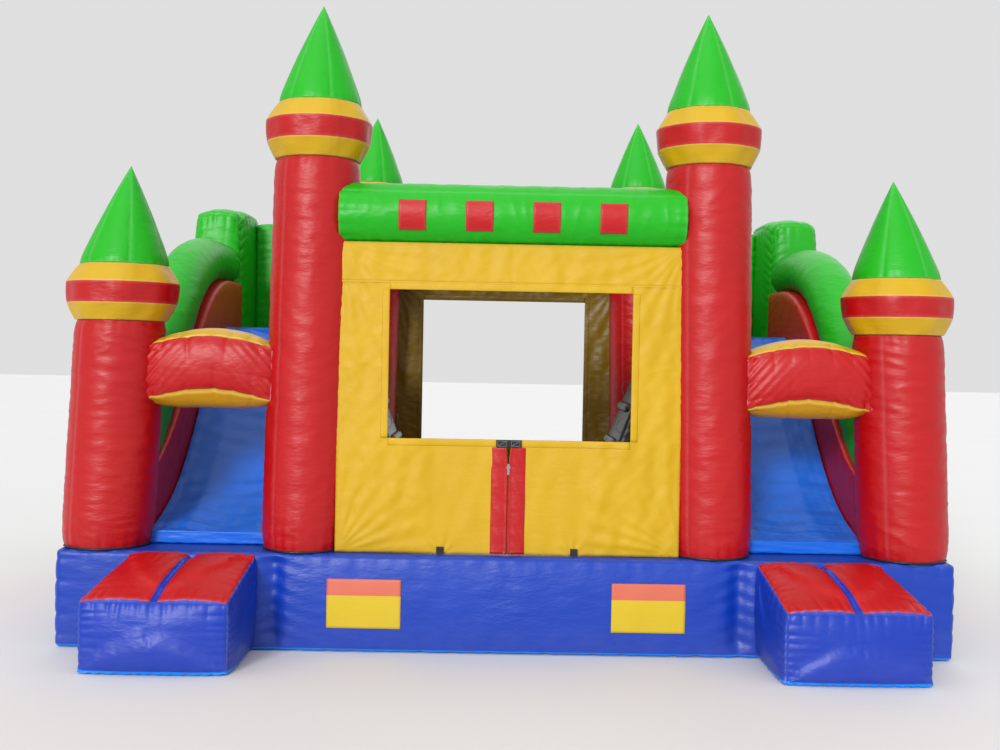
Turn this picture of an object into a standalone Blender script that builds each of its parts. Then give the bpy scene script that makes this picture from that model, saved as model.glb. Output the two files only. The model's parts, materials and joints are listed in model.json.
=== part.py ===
"""Inflatable castle bounce house with a zipped doorway and two slides.

Metres, +Z up, +X to the right of someone facing the front, +Y towards the back. The origin is the centre of
the whole outline, on the ground. Depths are counted backwards from the front face of the base. The large air
chambers are shells whose open end is the air port, the narrow side walls and bridges are solid, and each
single sheet of fabric is a thin plate.
"""

import math
from collections import namedtuple

import bmesh
import bpy
import numpy as np

# Gaps and wall thicknesses
GAP = 0.001
FINE_GAP = 0.0003
WALL = 0.03
CUTTER_REACH = 0.1
PANEL_THICKNESS = 0.016

# Base mattress
BASE_HALF_WIDTH = 2.75
BASE_DEPTH = 3.95
BASE_HEIGHT = 0.60
BASE_CORNER = 0.12
BASE_EDGE_ROUNDING = 0.04
BASE_WALL = 0.025
BAFFLE_SPACING = 0.70
BAFFLE_COUNT = 6
BAFFLE_THICKNESS = 0.02
BAFFLE_END_GAP = 0.35
FLOOR_Z = BASE_HEIGHT + GAP
AIR_PORT_RADIUS = 0.12

# Pads in front of the slides, and the sleeve behind, which set the object's whole depth
PAD_REACH = 0.58
PAD_BACK_X, PAD_FRONT_X = 1.91, 1.99
PAD_BACK_HALF_WIDTH, PAD_FRONT_HALF_WIDTH = 0.40, 0.44
PAD_BACK_HEIGHT = 0.585
PAD_FRONT_HEIGHT = 0.42
PAD_EDGE_ROUNDING = 0.04
SLEEVE_REACH = 0.32
FRONT_Y = PAD_REACH - (PAD_REACH + BASE_DEPTH + SLEEVE_REACH) / 2

# Towers: a shaft, a flared collar and a cone, all leaning inwards a little
Tower = namedtuple("Tower", "name side foot_x lean depth radius shaft_top")
INNER_FOOT_X = 1.275
INNER_LEAN = 0.021
INNER_RADIUS = 0.27
INNER_SHAFT_TOP = 3.02
OUTER_FOOT_X = 2.51
OUTER_LEAN = 0.046
OUTER_RADIUS = 0.28
OUTER_SHAFT_TOP = 2.00
FRONT_TOWER_DEPTH = 0.25
REAR_TOWER_DEPTH = 3.68
COLLAR_FLARE = 0.06
COLLAR_LOW_HEIGHT = 0.105
COLLAR_BAND_HEIGHT = 0.13
COLLAR_TOP_HEIGHT = 0.11
CONE_HEIGHT = 0.62
CONE_BULGE_SHARE = 0.55
CONE_BULGE_HEIGHT = 0.44
SEAM_TUCK = 0.01
SHAFT_FOOT_HEIGHT = 0.15
SHAFT_HEAD_HEIGHT = 0.30
TOWER_SIDES = 20

# Beams between the inner towers, and the fabric panels under them
BEAM_HALF_LENGTH = 1.06
BEAM_RADIUS = 0.20
BEAM_Z = 2.685
FRONT_BEAM_DEPTH = 0.19
PANEL_DEPTH = 0.076
PANEL_HALF_WIDTH = 1.06
PANEL_TOP_Z = 2.51
WINDOW_HALF_WIDTH = 0.745
WINDOW_LOW_Z = 1.31
WINDOW_HIGH_Z = 2.22
REAR_WINDOW_HALF_WIDTH = 0.76
REAR_WINDOW_LOW_Z = 1.00
REAR_WINDOW_HIGH_Z = 2.33

# Zipped doorway: two flaps that fold along slanting lines from the zip's top to the ends of the loose edge
DOOR_HALF_WIDTH = 0.40
DOOR_LOW_Z = 0.606
DOOR_HIGH_Z = 1.262
FLAP_THICKNESS = 0.008
FLAP_INSET = 0.002
PANEL_DOOR_MARGIN = 0.006
ZIP_HALF_GAP = 0.002
ZIP_TAPE_WIDTH = 0.010
ZIP_TAPE_REAR = 0.003
FLAP_ZIP_GAP = 0.004
TOOTH_INSET = 0.0005
ZIP_TOP_Z = 1.20
STRIP_WIDTH = 0.105
STRIP_THICKNESS = 0.003
STRIP_INSET = 0.012
SLIDER_Z = 1.14
SLIDER_HEIGHT = 0.04
SLIDER_HALF_WIDTH = 0.014
SLIDER_NECK = 0.0012
SLIDER_PLATE = 0.005
SLIDER_CLEARANCE = 0.001
EAR_INNER_X, EAR_OUTER_X = 0.0075, 0.0115
EAR_HALF_HEIGHT = 0.007
PIN_STAND_OFF = 0.0035
PIN_RADIUS, PIN_HOLE_RADIUS = 0.0015, 0.0021
PULL_LENGTH = 0.045
PULL_HALF_WIDTH = 0.0065
TOP_TAB_SIZE = (0.156, 0.005, 0.046)

# Walls between the bounce area and the slides, with the climb through them
SIDE_WALL_X = 1.28
SIDE_WALL_THICKNESS = 0.16
SIDE_WALL_TOP_Z = 2.93
SIDE_WALL_INSET = 0.15
ARCH_NEAR = 2.30
ARCH_FAR = 3.25
ARCH_TOP_Z = 2.60
RAMP_FOOT_X = 0.74
RAMP_TOP_X = 1.24
RAMP_BACK_X = 1.38
RAMP_CLEARANCE = 0.06

# Slides
LANE_INNER_X = 1.385
LANE_OUTER_X = 2.265
CHUTE_CURVE = ((0.28, 0.69), (1.35, 0.84), (1.50, 1.72), (2.30, 2.02))
PLATFORM_Z = 1.97
PLATFORM_BACK = 3.47
RAIL_OUTER_X = 2.71
RAIL_CURVE = ((0.38, 1.02), (1.35, 1.30), (1.50, 2.35), (2.60, 2.37))
RAIL_BACK = 2.975
TUBE_RADIUS = 0.195
TUBE_X = 2.49
TUBE_LIFT = 0.18
TUBE_START = 0.62
RAIL_SADDLE = 0.035
CURVE_STEPS = 10
TUBE_STEPS = 14
TUBE_SIDES = 14
COLUMN_INNER_X = 2.275
COLUMN_OUTER_X = 2.72
COLUMN_FRONT = 2.98
COLUMN_BACK = 3.80
COLUMN_TOP_Z = 3.08
REAR_WALL_INNER_X = 1.455
REAR_WALL_FRONT = 3.48
REAR_WALL_TOP_Z = 3.015
BRIDGE_ENDS_X = (1.46, 2.33)
BRIDGE_DEPTHS = (0.08, 0.44)
BRIDGE_LOW_Z = 1.50
BRIDGE_HIGH_Z = 1.88
BRIDGE_LOW_RISE = 0.06
BRIDGE_HIGH_RISE = 0.10
BRIDGE_SQUARENESS = 0.65

# Anchor points on the sides, and the air inlet and outlet at the back
ANCHOR_DEPTHS = {"front": 0.85, "rear": 3.30}
ANCHOR_Z = 0.112
ANCHOR_X = BASE_HALF_WIDTH + 0.0125
ANCHOR_TAB_HEIGHT = 0.11
ANCHOR_TAB_HALF_WIDTH = 0.024
ANCHOR_TAB_THICKNESS = 0.008
ANCHOR_SINGLE_THICKNESS = 0.006
ANCHOR_FOLD_HEIGHT = 0.025
LOOP_RADIUS = 0.0115
LOOP_HOLE_RADIUS = 0.0048
RING_WIRE_RADIUS = 0.004
RING_RADIUS = 0.034
RING_ARC_START = 12
SLEEVE_X = 1.90
SLEEVE_Z = 0.24
SLEEVE_RADIUS = 0.15
SLEEVE_WALL = 0.012
OUTLET_X = -1.90
OUTLET_SIZE = (0.40, 0.15)
OUTLET_Z = 0.225
OUTLET_FLAP_SIZE = (0.50, 0.008, 0.225)
OUTLET_FLAP_GAP = 0.002

SIDES = (("left", -1), ("right", 1))


def at_depth(depth):
    """World Y of a depth behind the base's front face."""
    return FRONT_Y + depth


def make_material(name, colour, roughness, metallic=0.0):
    material = bpy.data.materials.new(name)
    material.use_nodes = True
    shader = material.node_tree.nodes["Principled BSDF"]
    shader.inputs["Base Color"].default_value = (*colour, 1.0)
    shader.inputs["Roughness"].default_value = roughness
    shader.inputs["Metallic"].default_value = metallic
    material.diffuse_color = (*colour, 1.0)
    return material


def make_materials():
    return {
        "red_vinyl": make_material("red_vinyl", (0.62, 0.025, 0.04), 0.38),
        "yellow_vinyl": make_material("yellow_vinyl", (0.85, 0.53, 0.0), 0.38),
        "green_vinyl": make_material("green_vinyl", (0.02, 0.50, 0.03), 0.38),
        "blue_vinyl": make_material("blue_vinyl", (0.01, 0.06, 0.48), 0.38),
        "slide_vinyl": make_material("slide_vinyl", (0.0, 0.10, 0.55), 0.3),
        "black_vinyl": make_material("black_vinyl", (0.015, 0.015, 0.02), 0.4),
        "webbing": make_material("webbing", (0.02, 0.02, 0.025), 0.85),
        "zip_plastic": make_material("zip_plastic", (0.35, 0.36, 0.38), 0.4),
        "ring_steel": make_material("ring_steel", (0.6, 0.6, 0.62), 0.3, 1.0),
    }


def add_object(name, mesh, material, pivot, parent=None):
    """Turns a bmesh whose points are counted from pivot into an object that stands at pivot."""
    bmesh.ops.recalc_face_normals(mesh, faces=mesh.faces)
    data = bpy.data.meshes.new(name)
    mesh.to_mesh(data)
    mesh.free()
    if material:
        data.materials.append(material)
    data.shade_smooth()
    data.set_sharp_from_angle(angle=math.radians(35))
    piece = bpy.data.objects.new(name, data)
    bpy.context.scene.collection.objects.link(piece)
    piece.parent = parent
    if parent is None:
        piece.location = pivot
    return piece


def add_pivot(name, place):
    """An empty on a joint's axis, to which the moving pieces are parented."""
    pivot = bpy.data.objects.new(name, None)
    pivot.location = place
    bpy.context.scene.collection.objects.link(pivot)
    return pivot


def loft(name, outlines, material, pivot=(0, 0, 0), closed=False, parent=None):
    """Joins each outline to the next. A one-point outline is a tip, and open ends are filled."""
    mesh = bmesh.new()
    shift = np.array(pivot, float)
    rows = [[mesh.verts.new(point) for point in np.array(outline) - shift] for outline in outlines]
    pairs = list(zip(rows, rows[1:]))
    if closed:
        pairs.append((rows[-1], rows[0]))
    for first, second in pairs:
        count = max(len(first), len(second))
        for i in range(count):
            j = (i + 1) % count
            corners = [first[i % len(first)], first[j % len(first)]]
            corners += [second[j % len(second)], second[i % len(second)]]
            mesh.faces.new(list(dict.fromkeys(corners)))
    if not closed:
        for row in (rows[0], rows[-1]):
            if len(row) > 2:
                mesh.faces.new(row)
    return add_object(name, mesh, material, pivot, parent)


def prism(name, outline, axis, start, end, material, pivot=(0, 0, 0), parent=None):
    """Carries a flat outline along one axis. The outline's two numbers are the other two axes in order."""
    ends = [np.insert(np.array(outline, float), axis, place, axis=1) for place in (start, end)]
    return loft(name, ends, material, pivot, parent=parent)


def box(name, low, high, material, pivot=(0, 0, 0), parent=None):
    corners = ((low[0], low[1]), (high[0], low[1]), (high[0], high[1]), (low[0], high[1]))
    return prism(name, corners, 2, low[2], high[2], material, pivot, parent)


def combine(target, operation, *tools):
    """Cuts the tools from the target, or joins them to it. The tools are left out of the model."""
    for tool in tools:
        modifier = target.modifiers.new(f"{operation.title()} {tool.name}", "BOOLEAN")
        modifier.operation = operation
        modifier.object = tool
        tool.hide_render = True
        tool.display_type = "WIRE"
    return target


def circle(centre, radius, first, second, sides=TOWER_SIDES):
    """Points round a circle in the plane of two unit directions."""
    turns = np.linspace(0, 2 * math.pi, sides, endpoint=False)[:, None]
    return np.array(centre) + radius * (np.cos(turns) * np.array(first) + np.sin(turns) * np.array(second))


def rounded_rectangle(low, high, corner, steps=4):
    """Points round a rectangle whose corners are quarter circles."""
    points = []
    centres = (
        (high[0] - corner, high[1] - corner),
        (low[0] + corner, high[1] - corner),
        (low[0] + corner, low[1] + corner),
        (high[0] - corner, low[1] + corner),
    )
    for quarter, (across, along) in enumerate(centres):
        for step in range(steps + 1):
            turn = math.pi / 2 * (quarter + step / steps)
            points.append((across + corner * math.cos(turn), along + corner * math.sin(turn)))
    return np.array(points)


def shrink(outline, wall):
    """The outline pulled towards its middle by a wall's thickness. A tip stays where it is."""
    outline = np.array(outline, float)
    if len(outline) == 1:
        return outline
    away = outline - outline.mean(axis=0)
    length = np.linalg.norm(away, axis=1, keepdims=True)
    return outline - away * wall / length


def cup(outlines, wall, lid_step):
    """Outlines of a shell that is open at its first outline. lid_step leads from the closed end inwards."""
    inside = [shrink(outline, wall) for outline in outlines]
    inside[-1] = inside[-1] + np.array(lid_step)
    return inside[::-1] + list(outlines)


def bezier(controls, steps=CURVE_STEPS):
    """Points along a cubic Bezier curve."""
    t = np.linspace(0, 1, steps + 1)[:, None]
    a, b, c, d = (np.array(point) for point in controls)
    return (1 - t) ** 3 * a + 3 * (1 - t) ** 2 * t * b + 3 * (1 - t) * t**2 * c + t**3 * d


def normals_of(path):
    """Unit normals to the left of a flat path's direction of travel."""
    step = np.gradient(path, axis=0)
    step /= np.linalg.norm(step, axis=1, keepdims=True)
    return np.stack([-step[:, 1], step[:, 0]], axis=1)


def with_depths(outline):
    """Turns the depths in (depth, height) points into world Y."""
    return np.array(outline, float) + (FRONT_Y, 0.0)


def make_towers_list():
    towers = []
    for side, sign in SIDES:
        inner = (sign, INNER_FOOT_X, INNER_LEAN)
        towers.append(Tower(f"{side}_inner", *inner, FRONT_TOWER_DEPTH, INNER_RADIUS, INNER_SHAFT_TOP))
        towers.append(Tower(f"{side}_rear", *inner, REAR_TOWER_DEPTH, INNER_RADIUS, INNER_SHAFT_TOP))
        outer = (sign, OUTER_FOOT_X, OUTER_LEAN)
        towers.append(Tower(f"{side}_outer", *outer, FRONT_TOWER_DEPTH, OUTER_RADIUS, OUTER_SHAFT_TOP))
    return towers


def tower_centre(tower, height):
    return (tower.side * (tower.foot_x - tower.lean * (height - BASE_HEIGHT)), at_depth(tower.depth), height)


def tower_rings(tower, profile):
    """Level circles up a leaning tower, from (radius, height) pairs. Radius 0 is the tip."""
    rings = []
    for radius, height in profile:
        centre = tower_centre(tower, height)
        rings.append(circle(centre, radius, (1, 0, 0), (0, 1, 0)) if radius else [centre])
    return rings


def tower_cutters(towers):
    """A little larger than each shaft, to trim what leans against it."""
    cutters = {}
    for tower in towers:
        reach = tower.radius + GAP
        profile = ((reach, BASE_HEIGHT - 0.2), (reach, tower.shaft_top + 0.2))
        cutters[tower.name] = loft(f"{tower.name}_tower_clearance", tower_rings(tower, profile), None)
        cutters[tower.name].hide_render = True
        cutters[tower.name].display_type = "WIRE"
    return cutters


def make_tower(tower, materials):
    foot = tower_centre(tower, FLOOR_Z)
    shaft_top = tower.shaft_top
    tucked = tower.radius - SEAM_TUCK
    shaft = ((tucked, FLOOR_Z), (tower.radius, FLOOR_Z + SHAFT_FOOT_HEIGHT))
    shaft += ((tower.radius, shaft_top - SHAFT_HEAD_HEIGHT), (tucked, shaft_top))
    rings = cup(tower_rings(tower, shaft), WALL, (0, 0, -WALL))
    loft(f"{tower.name}_tower_shaft", rings, materials["red_vinyl"], foot)

    low = shaft_top + GAP
    flared = tower.radius + COLLAR_FLARE
    band_low = low + COLLAR_LOW_HEIGHT
    band_high = band_low + COLLAR_BAND_HEIGHT
    top = band_high + COLLAR_TOP_HEIGHT
    collar = ((tower.radius, low), (flared, band_low), (flared, band_high), (tucked, top))
    rings = cup(tower_rings(tower, collar), WALL, (0, 0, -WALL))
    loft(f"{tower.name}_tower_collar", rings, materials["yellow_vinyl"], tower_centre(tower, low))

    foot_z = top + GAP
    bulge = tower.radius * CONE_BULGE_SHARE
    bulge_z = foot_z + CONE_HEIGHT * CONE_BULGE_HEIGHT
    cone = ((tucked, foot_z), (bulge, bulge_z), (0, foot_z + CONE_HEIGHT))
    rings = cup(tower_rings(tower, cone), WALL, (0, 0, -3 * WALL))
    loft(f"{tower.name}_tower_cone", rings, materials["green_vinyl"], tower_centre(tower, foot_z))


def make_base(materials, towers):
    """The mattress: a closed box of fabric with baffles inside, and air ports under each tower."""
    round_in = BASE_EDGE_ROUNDING
    levels = ((0.0, round_in), (0.03, round_in / 5), (0.10, 0.0))
    levels += ((BASE_HEIGHT - 0.10, 0.0), (BASE_HEIGHT - 0.03, round_in / 5), (BASE_HEIGHT, round_in))
    rings = []
    for height, inset in levels:
        low = (-BASE_HALF_WIDTH + inset, at_depth(inset))
        high = (BASE_HALF_WIDTH - inset, at_depth(BASE_DEPTH - inset))
        outline = rounded_rectangle(low, high, BASE_CORNER)
        rings.append(np.insert(outline, 2, height, axis=1))
    base = loft("base_mattress", rings, materials["blue_vinyl"])

    inset = BASE_WALL
    low = (-BASE_HALF_WIDTH + inset, at_depth(inset), BASE_WALL)
    high = (BASE_HALF_WIDTH - inset, at_depth(BASE_DEPTH - inset), BASE_HEIGHT - BASE_WALL)
    combine(base, "DIFFERENCE", box("base_air_space", low, high, None))
    first = -BAFFLE_SPACING * (BAFFLE_COUNT - 1) / 2
    for index in range(BAFFLE_COUNT):
        x = first + BAFFLE_SPACING * index
        low = (x - BAFFLE_THICKNESS / 2, at_depth(BAFFLE_END_GAP), BASE_WALL / 2)
        high = (x + BAFFLE_THICKNESS / 2, at_depth(BASE_DEPTH - BAFFLE_END_GAP), BASE_HEIGHT - BASE_WALL / 2)
        combine(base, "UNION", box(f"baffle_{index + 1}", low, high, None))
    for tower in towers:
        ends = []
        for height in (BASE_HEIGHT - 2 * BASE_WALL, BASE_HEIGHT + BASE_WALL):
            ends.append(circle(tower_centre(tower, height), AIR_PORT_RADIUS, (1, 0, 0), (0, 1, 0), 16))
        combine(base, "DIFFERENCE", loft(f"{tower.name}_air_port", ends, None))
    ends = []
    for depth in (BASE_DEPTH - 2 * BASE_WALL, BASE_DEPTH + BASE_WALL):
        centre = (SLEEVE_X, at_depth(depth), SLEEVE_Z)
        ends.append(circle(centre, AIR_PORT_RADIUS, (1, 0, 0), (0, 0, 1), 16))
    combine(base, "DIFFERENCE", loft("inlet_port", ends, None))
    low = (OUTLET_X - OUTLET_SIZE[0] / 2, at_depth(BASE_DEPTH - 2 * BASE_WALL), OUTLET_Z - OUTLET_SIZE[1] / 2)
    high = (OUTLET_X + OUTLET_SIZE[0] / 2, at_depth(BASE_DEPTH + BASE_WALL), OUTLET_Z + OUTLET_SIZE[1] / 2)
    combine(base, "DIFFERENCE", box("outlet_port", low, high, None))


def make_pad(side, sign, materials):
    """The wedge at a slide's foot: (depth, centre, half width, lowest, highest) outlines from back to front."""
    tuck = PAD_EDGE_ROUNDING
    stations = (
        (-GAP, PAD_BACK_X, PAD_BACK_HALF_WIDTH, 0.0, PAD_BACK_HEIGHT),
        (-PAD_REACH + tuck, PAD_FRONT_X, PAD_FRONT_HALF_WIDTH, 0.0, PAD_FRONT_HEIGHT),
        (-PAD_REACH, PAD_FRONT_X, PAD_FRONT_HALF_WIDTH - tuck, tuck, PAD_FRONT_HEIGHT - tuck),
    )
    rings = []
    for depth, middle, half, low, high in stations:
        centre = sign * middle
        outline = rounded_rectangle((centre - half, low), (centre + half, high), PAD_EDGE_ROUNDING, 2)
        rings.append(np.insert(outline, 1, at_depth(depth), axis=1))
    pivot = (sign * PAD_BACK_X, at_depth(-GAP), 0)
    loft(f"{side}_landing_pad", cup(rings, WALL, (0, WALL, 0)), materials["blue_vinyl"], pivot)


def make_beam(name, depth, materials, cutters):
    """A tube across the castle, trimmed to the towers that it runs between."""
    rings = []
    hollow = BEAM_RADIUS - WALL
    for radius, sign in ((BEAM_RADIUS, -1), (BEAM_RADIUS, 1), (hollow, 1), (hollow, -1)):
        centre = (sign * BEAM_HALF_LENGTH, at_depth(depth), BEAM_Z)
        rings.append(circle(centre, radius, (0, 1, 0), (0, 0, 1), 20))
    beam = loft(name, rings, materials["green_vinyl"], closed=True)
    combine(beam, "DIFFERENCE", *cutters)


def door_edge_x(height, inset):
    """X of a line beside the right flap's fold line, inset towards the zip."""
    rise = DOOR_HIGH_Z - DOOR_LOW_Z
    slant = math.hypot(rise, DOOR_HALF_WIDTH) / rise
    return DOOR_HALF_WIDTH * (DOOR_HIGH_Z - height) / rise - inset * slant


def door_edge_z(x, inset):
    """Height at which that line reaches x."""
    rise = DOOR_HIGH_Z - DOOR_LOW_Z
    return DOOR_HIGH_Z - (x - door_edge_x(DOOR_HIGH_Z, inset)) * rise / DOOR_HALF_WIDTH


def make_front_panel(materials, cutters):
    mid = at_depth(PANEL_DEPTH)
    near = mid - PANEL_THICKNESS / 2
    far = mid + PANEL_THICKNESS / 2
    low = (-PANEL_HALF_WIDTH, near, FLOOR_Z + GAP)
    panel = box("front_panel", low, (PANEL_HALF_WIDTH, far, PANEL_TOP_Z), materials["yellow_vinyl"])
    cut_near, cut_far = near - CUTTER_REACH, far + CUTTER_REACH
    window_low = (-WINDOW_HALF_WIDTH, cut_near, WINDOW_LOW_Z)
    window = box("front_window", window_low, (WINDOW_HALF_WIDTH, cut_far, WINDOW_HIGH_Z), None)
    foot_z = FLOOR_Z - CUTTER_REACH
    foot_x = door_edge_x(foot_z, -PANEL_DOOR_MARGIN)
    peak_z = door_edge_z(0, -PANEL_DOOR_MARGIN)
    outline = ((-foot_x, foot_z), (foot_x, foot_z), (0, peak_z))
    doorway = prism("doorway", outline, 1, cut_near, cut_far, None)
    combine(panel, "DIFFERENCE", window, doorway, *cutters)
    half, thickness, height = TOP_TAB_SIZE[0] / 2, TOP_TAB_SIZE[1], TOP_TAB_SIZE[2]
    face = near - GAP / 2
    low = (-half, face - thickness, WINDOW_LOW_Z - height)
    box("zip_top_tab", low, (half, face, WINDOW_LOW_Z), materials["webbing"], (0, mid, WINDOW_LOW_Z))


def make_rear_panel(materials, cutters):
    mid = at_depth(FRONT_TOWER_DEPTH + REAR_TOWER_DEPTH - PANEL_DEPTH)
    near = mid - PANEL_THICKNESS / 2
    far = mid + PANEL_THICKNESS / 2
    low = (-PANEL_HALF_WIDTH, near, FLOOR_Z + GAP)
    panel = box("rear_panel", low, (PANEL_HALF_WIDTH, far, PANEL_TOP_Z), materials["yellow_vinyl"])
    low = (-REAR_WINDOW_HALF_WIDTH, near - CUTTER_REACH, REAR_WINDOW_LOW_Z)
    high = (REAR_WINDOW_HALF_WIDTH, far + CUTTER_REACH, REAR_WINDOW_HIGH_Z)
    window = box("rear_window", low, high, None)
    combine(panel, "DIFFERENCE", window, *cutters)


def make_door(side, sign, materials):
    """One flap with its red strip and zip half, on a pivot in the middle of its fold line."""
    mid = at_depth(PANEL_DEPTH)
    fold = (sign * DOOR_HALF_WIDTH / 2, mid, (DOOR_LOW_Z + DOOR_HIGH_Z) / 2)
    pivot = add_pivot(f"{side}_door_fold", fold)
    zip_x = ZIP_HALF_GAP + ZIP_TAPE_WIDTH
    flap_x = zip_x + FLAP_ZIP_GAP
    outline = np.array([
        (door_edge_x(DOOR_LOW_Z, FLAP_INSET), DOOR_LOW_Z),
        (flap_x, DOOR_LOW_Z),
        (flap_x, door_edge_z(flap_x, FLAP_INSET)),
    ]) * (sign, 1)
    half = FLAP_THICKNESS / 2
    name = f"{side}_door_flap"
    prism(name, outline, 1, mid - half, mid + half, materials["yellow_vinyl"], fold, pivot)

    back = mid - half - FINE_GAP
    front = back - STRIP_THICKNESS
    outline = np.array([
        (ZIP_HALF_GAP, DOOR_LOW_Z),
        (STRIP_WIDTH, DOOR_LOW_Z),
        (STRIP_WIDTH, door_edge_z(STRIP_WIDTH, STRIP_INSET)),
        (door_edge_x(ZIP_TOP_Z, STRIP_INSET), ZIP_TOP_Z),
        (ZIP_HALF_GAP, ZIP_TOP_Z),
    ]) * (sign, 1)
    strip = prism(f"{side}_zip_strip", outline, 1, front, back, materials["red_vinyl"], fold, pivot)
    near_x, far_x = sorted((sign * (ZIP_HALF_GAP + TOOTH_INSET), sign * zip_x))
    low = (near_x, back - STRIP_THICKNESS / 2, DOOR_LOW_Z + GAP)
    teeth = box(f"{side}_zip_teeth", low, (far_x, mid + ZIP_TAPE_REAR, ZIP_TOP_Z - GAP), None)
    combine(strip, "UNION", teeth)


def make_zip_slider(materials):
    """A slider on the left zip half, whose front plate covers both halves, and a pull that hangs from its ears.

    Its back plate is behind the left half only, so that the right half can swing out past it.
    """
    mid = at_depth(PANEL_DEPTH)
    half = SLIDER_HALF_WIDTH
    neck = SLIDER_NECK
    strip_front = mid - FLAP_THICKNESS / 2 - FINE_GAP - STRIP_THICKNESS
    plate_back = strip_front - SLIDER_CLEARANCE
    plate_front = plate_back - SLIDER_PLATE
    rear_front = mid + ZIP_TAPE_REAR + SLIDER_CLEARANCE
    rear_back = rear_front + SLIDER_PLATE
    outline = [(-half, plate_front), (half, plate_front), (half, plate_back), (neck, plate_back)]
    outline += [(neck, rear_back), (-half, rear_back), (-half, rear_front), (-neck, rear_front)]
    outline += [(-neck, plate_back), (-half, plate_back)]
    place = (0, mid, SLIDER_Z)
    pivot = add_pivot("zip_slide_line", place)
    low_z, high_z = SLIDER_Z - SLIDER_HEIGHT / 2, SLIDER_Z + SLIDER_HEIGHT / 2
    slider = prism("zip_slider", outline, 2, low_z, high_z, materials["zip_plastic"], place, pivot)

    pin = (0, plate_front - PIN_STAND_OFF, SLIDER_Z)
    for side, sign in SIDES:
        near_x, far_x = sorted((sign * EAR_INNER_X, sign * EAR_OUTER_X))
        low = (near_x, pin[1] - PIN_STAND_OFF, SLIDER_Z - EAR_HALF_HEIGHT)
        high = (far_x, plate_front + SLIDER_PLATE / 2, SLIDER_Z + EAR_HALF_HEIGHT)
        combine(slider, "UNION", box(f"{side}_slider_ear", low, high, None))
    reach = 2 * EAR_OUTER_X
    hole = [circle((x, *pin[1:]), PIN_HOLE_RADIUS, (0, 1, 0), (0, 0, 1), 12) for x in (-reach, reach)]
    combine(slider, "DIFFERENCE", loft("slider_pin_hole", hole, None))

    hinge = add_pivot("zip_pull_pin", pin)
    low = (-PULL_HALF_WIDTH, pin[1] - PIN_RADIUS, SLIDER_Z - PULL_LENGTH)
    high = (PULL_HALF_WIDTH, pin[1] + PIN_RADIUS, SLIDER_Z + 1.5 * PIN_RADIUS)
    pull = box("zip_pull", low, high, materials["zip_plastic"], pin, hinge)
    reach = EAR_OUTER_X + GAP
    ends = [circle((x, *pin[1:]), PIN_RADIUS, (0, 1, 0), (0, 0, 1), 12) for x in (-reach, reach)]
    combine(pull, "UNION", loft("zip_pull_axle", ends, None))


def make_side_wall(side, sign, materials, cutters):
    """The wall beside the bounce area, with a tall arch through which the slide is climbed."""
    near_x, far_x = (sign * (SIDE_WALL_X + step * SIDE_WALL_THICKNESS / 2) for step in (-1, 1))
    low_x, high_x = sorted((near_x, far_x))
    front = FRONT_TOWER_DEPTH + SIDE_WALL_INSET
    back = REAR_TOWER_DEPTH - SIDE_WALL_INSET
    low, high = (low_x, at_depth(front), FLOOR_Z), (high_x, at_depth(back), SIDE_WALL_TOP_Z)
    wall = box(f"{side}_side_wall", low, high, materials["red_vinyl"])
    radius = (ARCH_FAR - ARCH_NEAR) / 2
    turns = np.linspace(0, math.pi, 9)
    middle = (ARCH_NEAR + ARCH_FAR) / 2
    arc = np.stack([middle + radius * np.cos(turns), ARCH_TOP_Z - radius + radius * np.sin(turns)], axis=1)
    outline = [(ARCH_NEAR, FLOOR_Z - CUTTER_REACH), (ARCH_FAR, FLOOR_Z - CUTTER_REACH), *arc]
    arch = prism(f"{side}_arch", with_depths(outline), 0, low_x - CUTTER_REACH, high_x + CUTTER_REACH, None)
    combine(wall, "DIFFERENCE", arch, *cutters)


def make_climb_ramp(side, sign, materials):
    """A steep ramp from the bounce floor, through the arch, up to the platform."""
    top = PLATFORM_Z - WALL
    near, far = ARCH_NEAR + RAMP_CLEARANCE, ARCH_FAR - RAMP_CLEARANCE
    outline = ((RAMP_FOOT_X, FLOOR_Z), (RAMP_BACK_X, FLOOR_Z), (RAMP_BACK_X, top), (RAMP_TOP_X, top))
    name = f"{side}_climb_ramp"
    outline = np.array(outline) * (sign, 1)
    ramp = prism(name, outline, 1, at_depth(near), at_depth(far), materials["black_vinyl"])
    back = RAMP_BACK_X - WALL
    below = FLOOR_Z - CUTTER_REACH
    hollow = [(RAMP_FOOT_X + WALL / 2, below), (back, below)]
    hollow += [(back, top - WALL), (RAMP_TOP_X + WALL, top - WALL)]
    hollow = np.array(hollow) * (sign, 1)
    name = f"{side}_ramp_air_space"
    combine(ramp, "DIFFERENCE", prism(name, hollow, 1, at_depth(near + WALL), at_depth(far - WALL), None))


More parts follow.
